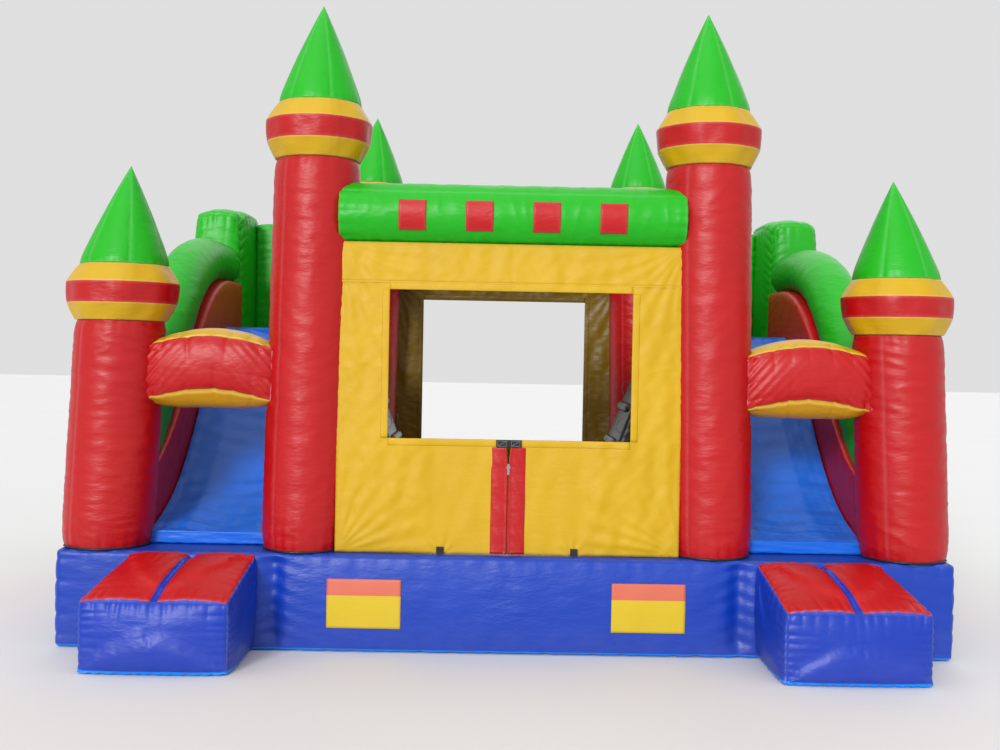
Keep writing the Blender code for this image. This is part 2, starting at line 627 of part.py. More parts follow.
def make_slide(side, sign, materials, cutters):
    """The chute with its hollow, and the platform block behind it."""
    low_x, high_x = sorted((sign * LANE_INNER_X, sign * LANE_OUTER_X))
    curve = bezier(CHUTE_CURVE)
    outline = [(curve[-1][0], FLOOR_Z), (curve[0][0], FLOOR_Z), *curve]
    chute = prism(f"{side}_slide_chute", with_depths(outline), 0, low_x, high_x, materials["slide_vinyl"])
    inside = (curve - normals_of(curve) * 2 * WALL)[3:]
    limit = curve[-1][0] - WALL
    inside = [(min(depth, limit), height) for depth, height in inside if height > FLOOR_Z + 0.02]
    below = FLOOR_Z - CUTTER_REACH
    hollow = [(limit, below), (inside[0][0], below), *inside]
    name = f"{side}_chute_air_space"
    hollow = prism(name, with_depths(hollow), 0, low_x + WALL, high_x - WALL, None)
    combine(chute, "DIFFERENCE", hollow, *cutters)

    front = curve[-1][0] + GAP
    rings = []
    for height in (FLOOR_Z, PLATFORM_Z):
        outline = rounded_rectangle((low_x, at_depth(front)), (high_x, at_depth(PLATFORM_BACK)), 0.02, 1)
        rings.append(np.insert(outline, 2, height, axis=1))
    middle = ((low_x + high_x) / 2, at_depth((front + PLATFORM_BACK) / 2), FLOOR_Z)
    rings = cup(rings, WALL, (0, 0, -WALL))
    platform = loft(f"{side}_slide_platform", rings, materials["slide_vinyl"], middle)
    combine(platform, "DIFFERENCE", *cutters)


def make_slide_rail(side, sign, materials, cutters):
    """The outer side of a slide: a wall along the lane, with a fat tube along its top."""
    low_x, high_x = sorted((sign * (LANE_OUTER_X + GAP), sign * RAIL_OUTER_X))
    curve = bezier(RAIL_CURVE)
    top = curve - normals_of(curve) * RAIL_SADDLE
    last = (RAIL_BACK, top[-1][1])
    outline = [(RAIL_BACK, FLOOR_Z), (curve[0][0], FLOOR_Z), *top, last]
    wall = prism(f"{side}_slide_rail_wall", with_depths(outline), 0, low_x, high_x, materials["red_vinyl"])
    inside = (top - normals_of(curve) * WALL)[1:]
    limit = RAIL_BACK - WALL
    below = FLOOR_Z - CUTTER_REACH
    hollow = [(limit, below), (inside[0][0], below), *inside, (limit, last[1] - WALL)]
    name = f"{side}_rail_air_space"
    hollow = prism(name, with_depths(hollow), 0, low_x + WALL, high_x - WALL, None)
    combine(wall, "DIFFERENCE", hollow, *cutters)

    seam = bezier(RAIL_CURVE, TUBE_STEPS)
    path = [point for point in seam + normals_of(seam) * TUBE_LIFT if point[0] > TUBE_START]
    path.append(np.array((COLUMN_FRONT - 2 * GAP, path[-1][1])))
    path = np.array(path)
    outward = normals_of(path)
    rings = []
    for (depth, height), (back, up) in zip(path, outward):
        centre = (sign * TUBE_X, at_depth(depth), height)
        rings.append(circle(centre, TUBE_RADIUS, (1, 0, 0), (0, back, up), TUBE_SIDES))
    rings = cup(rings[::-1], WALL, (0, WALL, 0))
    loft(f"{side}_slide_rail_tube", rings, materials["green_vinyl"])


def make_rear_corner(side, sign, materials, cutters):
    """The square column at a slide's rear corner, and the wall behind the platform."""
    pieces = (
        ("rear_column", COLUMN_INNER_X, COLUMN_OUTER_X, COLUMN_FRONT, COLUMN_TOP_Z),
        ("rear_wall", REAR_WALL_INNER_X, COLUMN_INNER_X - GAP, REAR_WALL_FRONT, REAR_WALL_TOP_Z),
    )
    for name, inner_x, outer_x, front, top in pieces:
        low_x, high_x = sorted((sign * inner_x, sign * outer_x))
        rings = []
        for height, inset in ((FLOOR_Z, 0.01), (FLOOR_Z + 0.05, 0.0), (top - 0.04, 0.0), (top, 0.03)):
            low = (low_x + inset, at_depth(front) + inset)
            high = (high_x - inset, at_depth(COLUMN_BACK) - inset)
            rings.append(np.insert(rounded_rectangle(low, high, 0.05, 2), 2, height, axis=1))
        middle = ((low_x + high_x) / 2, at_depth((front + COLUMN_BACK) / 2), FLOOR_Z)
        rings = cup(rings, WALL, (0, 0, -WALL))
        piece = loft(f"{side}_{name}", rings, materials["green_vinyl"], middle)
        if name == "rear_wall":
            combine(piece, "DIFFERENCE", *cutters)


def make_bridge(side, sign, materials, cutters):
    """An arched bolster from tower to tower over the foot of a slide."""
    stations = 8
    middle_y = at_depth(sum(BRIDGE_DEPTHS) / 2)
    half_depth = (BRIDGE_DEPTHS[1] - BRIDGE_DEPTHS[0]) / 2
    turns = np.linspace(0, 2 * math.pi, 16, endpoint=False)
    across = np.sign(np.cos(turns)) * np.abs(np.cos(turns)) ** BRIDGE_SQUARENESS
    upward = np.sign(np.sin(turns)) * np.abs(np.sin(turns)) ** BRIDGE_SQUARENESS
    rings = []
    for step in range(stations + 1):
        share = step / stations
        rise = math.sin(math.pi * share)
        low = BRIDGE_LOW_Z + BRIDGE_LOW_RISE * rise
        high = BRIDGE_HIGH_Z + BRIDGE_HIGH_RISE * rise
        x = sign * (BRIDGE_ENDS_X[0] + (BRIDGE_ENDS_X[1] - BRIDGE_ENDS_X[0]) * share)
        points = np.stack([
            np.full(len(turns), x),
            middle_y + half_depth * across,
            (low + high) / 2 + (high - low) / 2 * upward,
        ], axis=1)
        rings.append(points)
    bridge = loft(f"{side}_bridge", rings, materials["red_vinyl"])
    combine(bridge, "DIFFERENCE", *cutters)


def make_anchor(name, sign, depth, materials):
    """A webbing tab sewn to the base, whose rolled end holds a D-ring."""
    y = at_depth(depth)
    half = ANCHOR_TAB_HALF_WIDTH
    axle = (sign * ANCHOR_X, y, ANCHOR_Z)
    inner = BASE_HALF_WIDTH + GAP
    single, doubled = inner + ANCHOR_SINGLE_THICKNESS, inner + ANCHOR_TAB_THICKNESS
    fold_z, top_z = ANCHOR_Z + ANCHOR_FOLD_HEIGHT, ANCHOR_Z + ANCHOR_TAB_HEIGHT
    outline = [(inner, ANCHOR_Z), (single, ANCHOR_Z), (single, fold_z), (doubled, fold_z)]
    outline = [(sign * x, z) for x, z in (*outline, (doubled, top_z), (inner, top_z))]
    tab = prism(f"{name}_anchor_tab", outline, 1, y - half, y + half, materials["webbing"], axle)
    ends = ((y - half, LOOP_RADIUS), (y + half, LOOP_RADIUS))
    rings = [circle((axle[0], place, ANCHOR_Z), radius, (1, 0, 0), (0, 0, 1), 16) for place, radius in ends]
    combine(tab, "UNION", loft(f"{name}_anchor_roll", rings, None))
    ends = (y - 2 * half, y + 2 * half)
    rings = [circle((axle[0], place, ANCHOR_Z), LOOP_HOLE_RADIUS, (1, 0, 0), (0, 0, 1), 16) for place in ends]
    combine(tab, "DIFFERENCE", loft(f"{name}_anchor_bore", rings, None))

    pivot = add_pivot(f"{name}_ring_axle", axle)
    bar = RING_RADIUS * math.cos(math.radians(RING_ARC_START)) - RING_WIRE_RADIUS
    turns = np.radians(np.linspace(RING_ARC_START, 180 - RING_ARC_START, 11))
    arc = [(0, RING_RADIUS * math.cos(turn), -RING_RADIUS * math.sin(turn)) for turn in turns]
    points = [(0, -bar, 0), (0, bar, 0), *arc]
    curve = bpy.data.curves.new(f"{name}_anchor_ring", "CURVE")
    curve.dimensions = "3D"
    curve.bevel_depth = RING_WIRE_RADIUS
    curve.bevel_resolution = 2
    spline = curve.splines.new("POLY")
    spline.points.add(len(points) - 1)
    for point, place in zip(spline.points, points):
        point.co = (*place, 1.0)
    spline.use_cyclic_u = True
    curve.materials.append(materials["ring_steel"])
    ring = bpy.data.objects.new(f"{name}_anchor_ring", curve)
    bpy.context.scene.collection.objects.link(ring)
    ring.parent = pivot


def make_inlet_sleeve(materials):
    """The fabric neck that a blower is tied into."""
    stations = ((BASE_DEPTH + GAP, SLEEVE_RADIUS), (BASE_DEPTH + SLEEVE_REACH, SLEEVE_RADIUS))
    inner = [(depth, radius - SLEEVE_WALL) for depth, radius in stations[::-1]]
    rings = []
    for depth, radius in (*stations, *inner):
        centre = (SLEEVE_X, at_depth(depth), SLEEVE_Z)
        rings.append(circle(centre, radius, (1, 0, 0), (0, 0, 1)))
    pivot = (SLEEVE_X, at_depth(BASE_DEPTH), SLEEVE_Z)
    loft("inlet_sleeve", rings, materials["blue_vinyl"], pivot, closed=True)


def make_outlet_flap(materials):
    """The flap over the air outlet, hinged along its top edge."""
    width, thickness, height = OUTLET_FLAP_SIZE
    near = at_depth(BASE_DEPTH) + OUTLET_FLAP_GAP
    top = OUTLET_Z + height / 2
    hinge = (OUTLET_X, near + thickness / 2, top + thickness / 2)
    pivot = add_pivot("outlet_flap_hinge", hinge)
    low = (OUTLET_X - width / 2, near, top - height)
    high = (OUTLET_X + width / 2, near + thickness, top)
    box("outlet_flap", low, high, materials["blue_vinyl"], hinge, pivot)


def main():
    for item in list(bpy.data.objects):
        bpy.data.objects.remove(item, do_unlink=True)
    materials = make_materials()
    towers = make_towers_list()
    cutters = tower_cutters(towers)
    make_base(materials, towers)
    for tower in towers:
        make_tower(tower, materials)
    fronts = [cutters["left_inner"], cutters["right_inner"]]
    rears = [cutters["left_rear"], cutters["right_rear"]]
    make_beam("front_beam", FRONT_BEAM_DEPTH, materials, fronts)
    rear_beam_depth = FRONT_TOWER_DEPTH + REAR_TOWER_DEPTH - FRONT_BEAM_DEPTH
    make_beam("rear_beam", rear_beam_depth, materials, rears)
    make_front_panel(materials, fronts)
    make_rear_panel(materials, rears)
    make_zip_slider(materials)
    for side, sign in SIDES:
        inner, outer, rear = (cutters[f"{side}_{place}"] for place in ("inner", "outer", "rear"))
        make_pad(side, sign, materials)
        make_door(side, sign, materials)
        make_side_wall(side, sign, materials, (inner, rear))
        make_climb_ramp(side, sign, materials)
        make_slide(side, sign, materials, (inner, outer, rear))
        make_slide_rail(side, sign, materials, (outer,))
        make_rear_corner(side, sign, materials, (rear,))
        make_bridge(side, sign, materials, (inner, outer))
        for place, depth in ANCHOR_DEPTHS.items():
            make_anchor(f"{side}_{place}", sign, depth, materials)
    make_inlet_sleeve(materials)
    make_outlet_flap(materials)


if __name__ == "__main__":
    main()
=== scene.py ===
"""Looks of an inflatable castle bounce house: blown-up vinyl chambers, fabric panels, webbing and zip.

Metres, +Z up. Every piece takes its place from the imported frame. Each operator makes one piece or one
group of like pieces, and they can be run one by one from the panel in the 3D view's sidebar.
"""

import json
import math

import bpy
import numpy as np
from mathutils import Matrix, Vector


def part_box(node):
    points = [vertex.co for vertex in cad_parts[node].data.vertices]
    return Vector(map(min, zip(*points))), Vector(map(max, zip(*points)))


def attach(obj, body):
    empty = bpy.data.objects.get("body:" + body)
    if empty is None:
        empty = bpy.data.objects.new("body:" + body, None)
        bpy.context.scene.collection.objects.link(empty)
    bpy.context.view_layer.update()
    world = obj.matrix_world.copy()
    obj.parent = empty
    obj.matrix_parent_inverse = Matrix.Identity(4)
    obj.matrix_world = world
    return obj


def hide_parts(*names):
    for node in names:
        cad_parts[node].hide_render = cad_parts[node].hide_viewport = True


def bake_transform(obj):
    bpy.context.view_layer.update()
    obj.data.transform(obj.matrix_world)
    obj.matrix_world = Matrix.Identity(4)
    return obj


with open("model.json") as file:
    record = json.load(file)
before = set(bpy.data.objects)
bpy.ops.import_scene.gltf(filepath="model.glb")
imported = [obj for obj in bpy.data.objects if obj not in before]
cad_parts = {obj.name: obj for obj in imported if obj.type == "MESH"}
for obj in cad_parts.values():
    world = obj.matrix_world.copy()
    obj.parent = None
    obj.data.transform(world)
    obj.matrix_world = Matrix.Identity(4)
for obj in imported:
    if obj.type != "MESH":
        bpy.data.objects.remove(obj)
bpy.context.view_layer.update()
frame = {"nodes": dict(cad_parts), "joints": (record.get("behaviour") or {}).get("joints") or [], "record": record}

bl_info = {
    "name": "Inflatable castle",
    "version": (1, 0, 0),
    "blender": (4, 5, 0),
    "location": "View3D > Sidebar > Castle",
    "description": "Builds the looks of a bounce house around its packed frame",
    "category": "Object",
}

SIDES = (("left", -1.0), ("right", 1.0))
OPENINGS = {item["name"]: np.array(item["box_m"]) for item in frame["record"]["physics"]["openings"]}
JOINTS = {joint["name"]: joint for joint in frame["joints"]}
OPENING_MARGIN = 0.01  # how far the stated openings stay inside the real edges
FRONT_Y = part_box("base_mattress")[0].y
FLOOR_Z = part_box("base_mattress")[1].z


# ---------------------------------------------------------------- surfaces


def corners_of(node):
    """Lowest and highest corner of a frame node as arrays."""
    low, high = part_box(node)
    return np.array(low), np.array(high)


def at_depth(depth):
    """World Y of a depth behind the base's front face."""
    return FRONT_Y + depth


def noise(points, size, seed):
    """Smooth noise near -1 to 1: the mean of sine waves about size long, in seeded random directions."""
    rng = np.random.default_rng(seed)
    directions = rng.normal(size=(points.shape[-1], 14))
    directions /= np.linalg.norm(directions, axis=0)
    waves = 2 * math.pi / size * rng.uniform(0.55, 1.7, 14)
    phases = rng.uniform(0, 2 * math.pi, 14)
    return np.sin(points @ (directions * waves) + phases).mean(axis=-1) * 2.0


def gathers(phase, site, away, reach, seed):
    """How deep the puckers of a gathered seam are, from 0 to 1.

    Valleys run away from the seam where sin(phase) is near zero. Noise moves them about, gives each its own
    length and strength, and they fade as exp(-(away / length) ** 1.4).
    """
    wander = 1.5 * noise(site, reach * 5.0, seed) + 0.8 * noise(site, reach * 1.6, seed + 1)
    slant = away / reach * 0.5 * noise(site, reach * 3.0, seed + 2)
    valley = 1 - np.abs(np.sin(phase + wander + slant)) ** 0.55
    strength = 0.55 + 0.45 * noise(site, reach * 2.2, seed + 3)
    length = reach * (0.7 + 0.45 * noise(site, reach * 1.3, seed + 4))
    return valley * strength * np.exp(-(away / np.maximum(length, 0.2 * reach)) ** 1.4)


def grid_faces(rows, columns, wrap):
    """Quads of a grid of points, whose last column joins the first where wrap is set."""
    i = np.arange(rows - 1)[:, None]
    j = np.arange(columns if wrap else columns - 1)[None, :]
    k = (j + 1) % columns
    corners = [i * columns + j, i * columns + k, (i + 1) * columns + k, (i + 1) * columns + j]
    return np.stack([np.broadcast_to(c, (rows - 1, j.shape[1])) for c in corners], axis=-1).reshape(-1, 4)


def loft(sections, wrap=True, caps=(True, True)):
    """Quads between rows of points. A cap shrinks the end row to its middle in rings."""
    rows = [np.asarray(row) for row in sections]
    for end, wanted in ((0, caps[0]), (-1, caps[1])):
        if wanted:
            middle = rows[end].mean(axis=0)
            rings = [middle + (rows[end] - middle) * share for share in (0.66, 0.33, 0.0005)]
            rows = rings[::-1] + rows if end == 0 else rows + rings
    points = np.array(rows)
    return points.reshape(-1, 3), grid_faces(len(points), points.shape[1], wrap)


def cube_grid(counts):
    """A cube from -1 to 1 with a grid on each face, closer near the edges. The quads face outwards."""
    lines = []
    for count in counts:
        even = np.linspace(-1, 1, count + 1)
        lines.append(0.55 * even + 0.45 * np.sin(even * math.pi / 2))
    points, faces, start = [], [], 0
    for axis in range(3):
        a, b = [k for k in range(3) if k != axis]
        for side in (-1, 1):
            first, second = np.meshgrid(lines[a], lines[b], indexing="ij")
            face = np.empty((*first.shape, 3))
            face[..., axis], face[..., a], face[..., b] = side, first, second
            quads = grid_faces(*first.shape, False) + start
            outward = side * (-1 if axis == 1 else 1) < 0
            faces.append(quads if outward else quads[:, ::-1])
            points.append(face.reshape(-1, 3))
            start += first.size
    points, faces = np.concatenate(points), np.concatenate(faces)
    keys = np.round(points * 1e6).astype(np.int64)
    _, first, index = np.unique(keys, axis=0, return_index=True, return_inverse=True)
    return points[first], index.reshape(-1)[faces]


def normals(points, faces):
    """Unit normals at the points: the sum of the crossed diagonals of the quads round each."""
    corners = points[faces]
    crossed = np.cross(corners[:, 2] - corners[:, 0], corners[:, 3] - corners[:, 1])
    total = np.zeros_like(points)
    for k in range(4):
        np.add.at(total, faces[:, k], crossed)
    return total / np.maximum(np.linalg.norm(total, axis=1, keepdims=True), 1e-12)


def facing_out(points, faces):
    """The faces turned round if the closed shape's signed volume is negative."""
    corners = points[faces]
    volume = np.einsum("ij,ij->", corners[:, 0], np.cross(corners[:, 1], corners[:, 2]))
    volume += np.einsum("ij,ij->", corners[:, 0], np.cross(corners[:, 2], corners[:, 3]))
    return faces[:, ::-1] if volume < 0 else faces


def chamber(size, counts, rounding, swell, gather, seed, place, spacing=0.09):
    """A blown-up box whose faces are sewn along its edges.

    A cube's grid is rounded along its edges. place turns it, in units of half the size, into the shape. Each
    face then swells along its normals by its own height times ((1 - u^2)(1 - v^2)) ** 0.6, and puckers run in
    from each seam. Returns points, faces, the cube's coordinates and the sewn field (along, away).
    """
    cube, faces = cube_grid(counts)
    half = np.array(size) / 2
    flat = cube * half
    core = np.clip(flat, rounding - half, half - rounding)
    out = flat - core
    rounded = core + rounding * out / np.linalg.norm(out, axis=1, keepdims=True)
    base = place(rounded / half)
    depth, reach = gather
    height = np.zeros(len(cube))
    sewn = np.zeros((len(cube), 3))
    sewn[:, 1] = 1.0
    for axis in range(3):
        a, b = [k for k in range(3) if k != axis]
        on_face = np.abs(cube[:, axis]) > 0.999999
        amount = np.where(cube[:, axis] > 0, swell[axis][1], swell[axis][0])
        blown = amount * ((1 - cube[:, a] ** 2) * (1 - cube[:, b] ** 2)).clip(0) ** 0.6
        tuck = np.zeros(len(cube))
        for across, along in ((a, b), (b, a)):
            away = half[across] * (1 - np.abs(cube[:, across]))
            line = flat[:, along]
            site = np.stack([line, np.sign(cube[:, across]) * 3.0 + np.sign(cube[:, axis])], axis=1)
            tuck += gathers(math.pi * line / spacing, site, away, reach, seed)
            nearer = on_face & (away < sewn[:, 1])
            sewn[nearer, 0], sewn[nearer, 1] = line[nearer], away[nearer]
        height = np.where(on_face, blown - depth * tuck, height)
    height += 0.0022 * noise(flat, 0.23, seed + 9) * np.minimum(sewn[:, 1] / 0.05, 1)
    points = base + normals(base, faces) * height[:, None]
    return points, faces, cube, sewn


def straight(low, high):
    """A place function for chamber: the plain box from low to high."""
    low, high = np.array(low), np.array(high)
    return lambda unit: (low + high) / 2 + unit * (high - low) / 2


def bezier(controls, t):
    """Points along a cubic Bezier curve at each t."""
    t = np.asarray(t)[..., None]
    a, b, c, d = (np.array(point, float) for point in controls)
    return (1 - t) ** 3 * a + 3 * (1 - t) ** 2 * t * b + 3 * (1 - t) * t**2 * c + t**3 * d


def tube_along(path, radius, sides=10, closed=False):
    """A round tube along a path: at each point a circle square to the path, on axes carried along it."""
    path = np.asarray(path, float)
    if closed:
        ahead = np.roll(path, -1, axis=0) - np.roll(path, 1, axis=0)
    else:
        ahead = np.gradient(path, axis=0)
    ahead /= np.linalg.norm(ahead, axis=1, keepdims=True)
    reference = np.array((0.13, 0.21, 0.97)) if abs(ahead[:, 2]).mean() < 0.8 else np.array((1.0, 0.1, 0.2))
    across = np.cross(ahead, reference)
    across /= np.linalg.norm(across, axis=1, keepdims=True)
    upward = np.cross(across, ahead)
    turns = np.linspace(0, 2 * math.pi, sides, endpoint=False)[None, :, None]
    rings = path[:, None] + radius * (np.cos(turns) * across[:, None] + np.sin(turns) * upward[:, None])
    if closed:
        rings = np.concatenate([rings, rings[:1]])
        return loft(rings, caps=(False, False))
    return loft(rings)


def link_mesh(name, points, faces, finishes, index, sewn):
    """Puts points and quads into a new object, with each face's finish and the sewn field."""
    mesh = bpy.data.meshes.new(name)
    mesh.from_pydata(np.array(points).tolist(), [], np.array(faces).tolist())
    for finish in finishes:
        mesh.materials.append(finish)
    if index is not None:
        mesh.polygons.foreach_set("material_index", np.asarray(index, np.int32))
    if sewn is not None:
        field = mesh.attributes.new("sewn", "FLOAT_VECTOR", "POINT")
        field.data.foreach_set("vector", np.asarray(sewn, np.float32).ravel())
    mesh.shade_smooth()
    mesh.update()
    piece = bpy.data.objects.new(name, mesh)
    bpy.context.scene.collection.objects.link(piece)
    return piece


def add_piece(name, points, faces, finishes, body="castle", replaces=(), index=None, sewn=None,
              side=1.0):
    """Puts points and quads into a mesh. side -1 mirrors the piece to the left."""
    points = np.array(points) * (side, 1, 1)
    piece = link_mesh(name, points, facing_out(points, np.array(faces)), finishes, index, sewn)
    if body:
        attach(piece, body)
    for node in replaces:
        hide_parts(node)
    return piece


def add_chamber(name, made, finishes, replaces=(), index=None, side=1.0):
    """A chamber as a piece. index gives each face's finish from its middle on the cube."""
    points, faces, cube, sewn = made
    index = None if index is None else index(cube[faces].mean(axis=1))
    piece = add_piece(name, points, faces, finishes, replaces=replaces, index=index, sewn=sewn,
                      side=side)
    return piece


def blow_up(piece, held, pressure, shrink, cap, frames=16):
    """Runs the piece as cloth with air in it, and keeps the result.

    Vertices where held is set stay. Threads near a seam shrink by up to the given share, which gathers the
    cloth beside it. No point moves further than cap.
    """
    mesh = piece.data
    start = np.empty(len(mesh.vertices) * 3, np.float32)
    mesh.vertices.foreach_get("co", start)
    start = start.reshape(-1, 3)
    sewn = np.empty(len(mesh.vertices) * 3, np.float32)
    mesh.attributes["sewn"].data.foreach_get("vector", sewn)
    near = np.exp(-((sewn.reshape(-1, 3)[:, 1] / 0.03) ** 2))
    for name, weight in (("held", held.astype(float)), ("seam", near)):
        group = piece.vertex_groups.new(name=name)
        level = np.round(weight * 8).astype(int)
        for step in range(1, 9):
            group.add(np.flatnonzero(level == step).tolist(), step / 8, "REPLACE")
    cloth = piece.modifiers.new("Blown up", "CLOTH")
    settings = cloth.settings
    settings.quality = 4
    settings.use_pressure = True
    settings.uniform_pressure_force = pressure
    settings.effector_weights.gravity = 0
    settings.vertex_group_mass = "held"
    settings.vertex_group_shrink = "seam"
    settings.shrink_min = 0.0
    settings.shrink_max = shrink
    settings.bending_stiffness = 0.3
    cloth.collision_settings.use_collision = False
    scene = bpy.context.scene
    cloth.point_cache.frame_start, cloth.point_cache.frame_end = 1, frames
    for step in range(1, frames + 1):
        scene.frame_set(step)
    blown = piece.evaluated_get(bpy.context.evaluated_depsgraph_get()).data
    end = np.empty(len(mesh.vertices) * 3, np.float32)
    blown.vertices.foreach_get("co", end)
    move = end.reshape(-1, 3) - start
    length = np.maximum(np.linalg.norm(move, axis=1, keepdims=True), 1e-9)
    move = move / length * cap * np.tanh(length / cap)
    piece.modifiers.remove(cloth)
    piece.vertex_groups.clear()
    scene.frame_set(1)
    mesh.vertices.foreach_set("co", (start + move).astype(np.float32).ravel())
    mesh.update()


# ---------------------------------------------------------------- finishes


class Value:
    """A socket whose number varies over a surface. Arithmetic on it adds Math nodes."""

    def __init__(self, graph, socket):
        self.graph = graph
        self.socket = socket

    def math(self, operation, *others):
        return self.graph.node("ShaderNodeMath", {"operation": operation}, dict(enumerate((self, *others))))

    def __add__(self, other):
        return self.math("ADD", other)

    def __sub__(self, other):
        return self.math("SUBTRACT", other)

    def __rsub__(self, other):
        return self.graph.node("ShaderNodeMath", {"operation": "SUBTRACT"}, {0: other, 1: self})

    def __mul__(self, other):
        return self.math("MULTIPLY", other)

    def __truediv__(self, other):
        return self.math("DIVIDE", other)

    __radd__ = __add__
    __rmul__ = __mul__

    def absolute(self):
        return self.math("ABSOLUTE")

    def fraction(self):
        return self.math("FRACT")

    def below(self, limit, soft):
        """1 where the value is under limit, falling to 0 over the soft width."""
        sockets = {0: self, 1: limit - soft / 2, 2: limit + soft / 2, 3: 1.0, 4: 0.0}
        return self.graph.node("ShaderNodeMapRange", {"interpolation_type": "SMOOTHSTEP"}, sockets)

    def larger(self, other):
        return self.math("MAXIMUM", other)


class Finish:
    """A material under construction: one Principled shader and the nodes that feed it."""

    def __init__(self, name, roughness, metallic=0.0, sheen=0.0):
        self.material = bpy.data.materials.new(name)
        self.material.use_nodes = True
        self.tree = self.material.node_tree
        self.shader = self.tree.nodes["Principled BSDF"]
        self.shader.inputs["Roughness"].default_value = roughness
        self.shader.inputs["Metallic"].default_value = metallic
        self.shader.inputs["Sheen Weight"].default_value = sheen

    def node(self, kind, settings=None, sockets=None, output=0):
        """Adds a node. Settings come first, a ramp's stops among them, then the sockets' values or links."""
        made = self.tree.nodes.new(kind)
        for name, value in (settings or {}).items():
            if name == "stops":
                ramp = made.color_ramp.elements
                while len(ramp) < len(value):
                    ramp.new(0.5)
                for element, (place, colour) in zip(ramp, value):
                    element.position, element.color = place, colour
            else:
                setattr(made, name, value)
        for name, value in (sockets or {}).items():
            if isinstance(value, Value):
                self.tree.links.new(value.socket, made.inputs[name])
            else:
                made.inputs[name].default_value = value
        return Value(self, made.outputs[output])

    def feed(self, socket, value):
        self.tree.links.new(value.socket, self.shader.inputs[socket])

    def place(self):
        return self.node("ShaderNodeTexCoord", output="Object")

    def split(self, vector):
        made = self.tree.nodes.new("ShaderNodeSeparateXYZ")
        self.tree.links.new(vector.socket, made.inputs[0])
        return [Value(self, made.outputs[k]) for k in range(3)]

    def noise(self, scale, detail=2.0, vector=None, rough=0.5):
        sockets = {"Vector": vector or self.place(), "Scale": scale, "Detail": detail, "Roughness": rough}
        return self.node("ShaderNodeTexNoise", None, sockets)

    def scaled(self, vector, factors):
        return self.node("ShaderNodeVectorMath", {"operation": "MULTIPLY"}, {0: vector, 1: factors})

    def mix(self, factor, first, second, blend="MIX"):
        settings = {"data_type": "RGBA", "blend_type": blend}
        return self.node("ShaderNodeMix", settings, {0: factor, 6: first, 7: second}, output=2)

    def bump(self, height, distance, strength=1.0, below=None):
        sockets = {"Strength": strength, "Distance": distance, "Height": height}
        if below:
            sockets["Normal"] = below
        return self.node("ShaderNodeBump", None, sockets)


def linear(colour, gain=1.0):
    """Linear light from a display colour, times gain."""
    values = [c / 12.92 if c < 0.04045 else ((c + 0.055) / 1.055) ** 2.4 for c in colour]
    return (*(min(value * gain, 1.0) for value in values), 1.0)


def vinyl(name, colour, roughness=0.46, crease=1.0, band=None, wear=1.0):
    """Satin coated vinyl.

    Its colour drifts a little in broad clouds, is paler where a seam stretches it and dustier low down. Slow
    creases and a fine scrim weave are bumps. A double row of stitches follows the seams at 9 and 15 mm. band
    is (height, colour) of a differently coloured strip along the bottom.
    """
    finish = Finish(name, roughness)
    finish.shader.inputs["Specular IOR Level"].default_value = 0.40
    place = finish.place()
    x, y, z = finish.split(place)
    clouds = finish.noise(2.2, 3.0, place)
    fine = finish.noise(38.0, 4.0, place)
    sewn = finish.node("ShaderNodeAttribute", {"attribute_name": "sewn"}, output="Vector")
    along, away, _ = finish.split(sewn)
    has_seam = (away + along.absolute()).math("GREATER_THAN", 1e-5)
    near = away.below(0.012, 0.02) * has_seam
    base = finish.mix(clouds * 0.45, linear(colour, 0.60), linear(colour, 0.84))
    base = finish.mix(near * (0.04 + 0.14 * fine) * wear, base, linear([0.5 + c / 2 for c in colour]))
    dust = z.below(0.16, 0.30) * finish.noise(7.0, 5.0, place, 0.6) * 0.10
    base = finish.mix(dust, base, (0.30, 0.27, 0.23, 1.0))
    dashes = (along / 0.0085).fraction().below(0.62, 0.08)
    first, second = ((away - row).absolute().below(0.0009, 0.0006) for row in (0.009, 0.015))
    rows = first.larger(second)
    stitches = rows * dashes * has_seam
    base = finish.mix(stitches * 0.5, base, linear([c * 0.55 for c in colour]))
    if band:
        height, band_colour = band
        edge = (z + finish.noise(5.0, 1.0, place) * 0.006).below(height, 0.004)
        base = finish.mix(edge, base, linear(band_colour))
    finish.feed("Base Color", base)
    finish.feed("Roughness", roughness - 0.12 + 0.10 * clouds + 0.06 * fine)
    wrinkles = finish.noise(6.0, 3.0, finish.scaled(place, (1.0, 1.0, 2.1)), 0.55)
    pulled = finish.noise(3.6, 5.0, finish.scaled(place, (1.7, 1.7, 5.0)), 0.6)
    patches = finish.noise(1.7, 2.0, place)
    soft = finish.bump(wrinkles + (0.15 + 5.0 * patches * patches * patches) * pulled, 0.010 * crease, 0.5)
    weave = (x * 1700.0).math("SINE") * (z * 1700.0).math("SINE") + (y * 1700.0).math("SINE") * 0.5
    fine_bump = finish.bump(weave * 0.5 + stitches * 3.0, 0.00012, 0.5, soft)
    finish.feed("Normal", fine_bump)
    return finish.material


def webbing(name, colour):
    """Woven strap: ribs across and along at 2 mm, dull, with a little sheen."""
    finish = Finish(name, 0.82, sheen=0.25)
    place = finish.place()
    x, y, z = finish.split(place)
    ribs = (z * 3100.0 + x * 800.0).math("SINE") * 0.5 + (x * 2600.0 + y * 2600.0).math("SINE") * 0.5
    grain = finish.noise(260.0, 2.0, place)
    finish.feed("Base Color", finish.mix(grain * 0.6, linear(colour), linear([c + 0.10 for c in colour])))
    finish.feed("Roughness", 0.75 + 0.15 * grain)
    finish.feed("Normal", finish.bump(ribs, 0.0004, 0.7))
    return finish.material


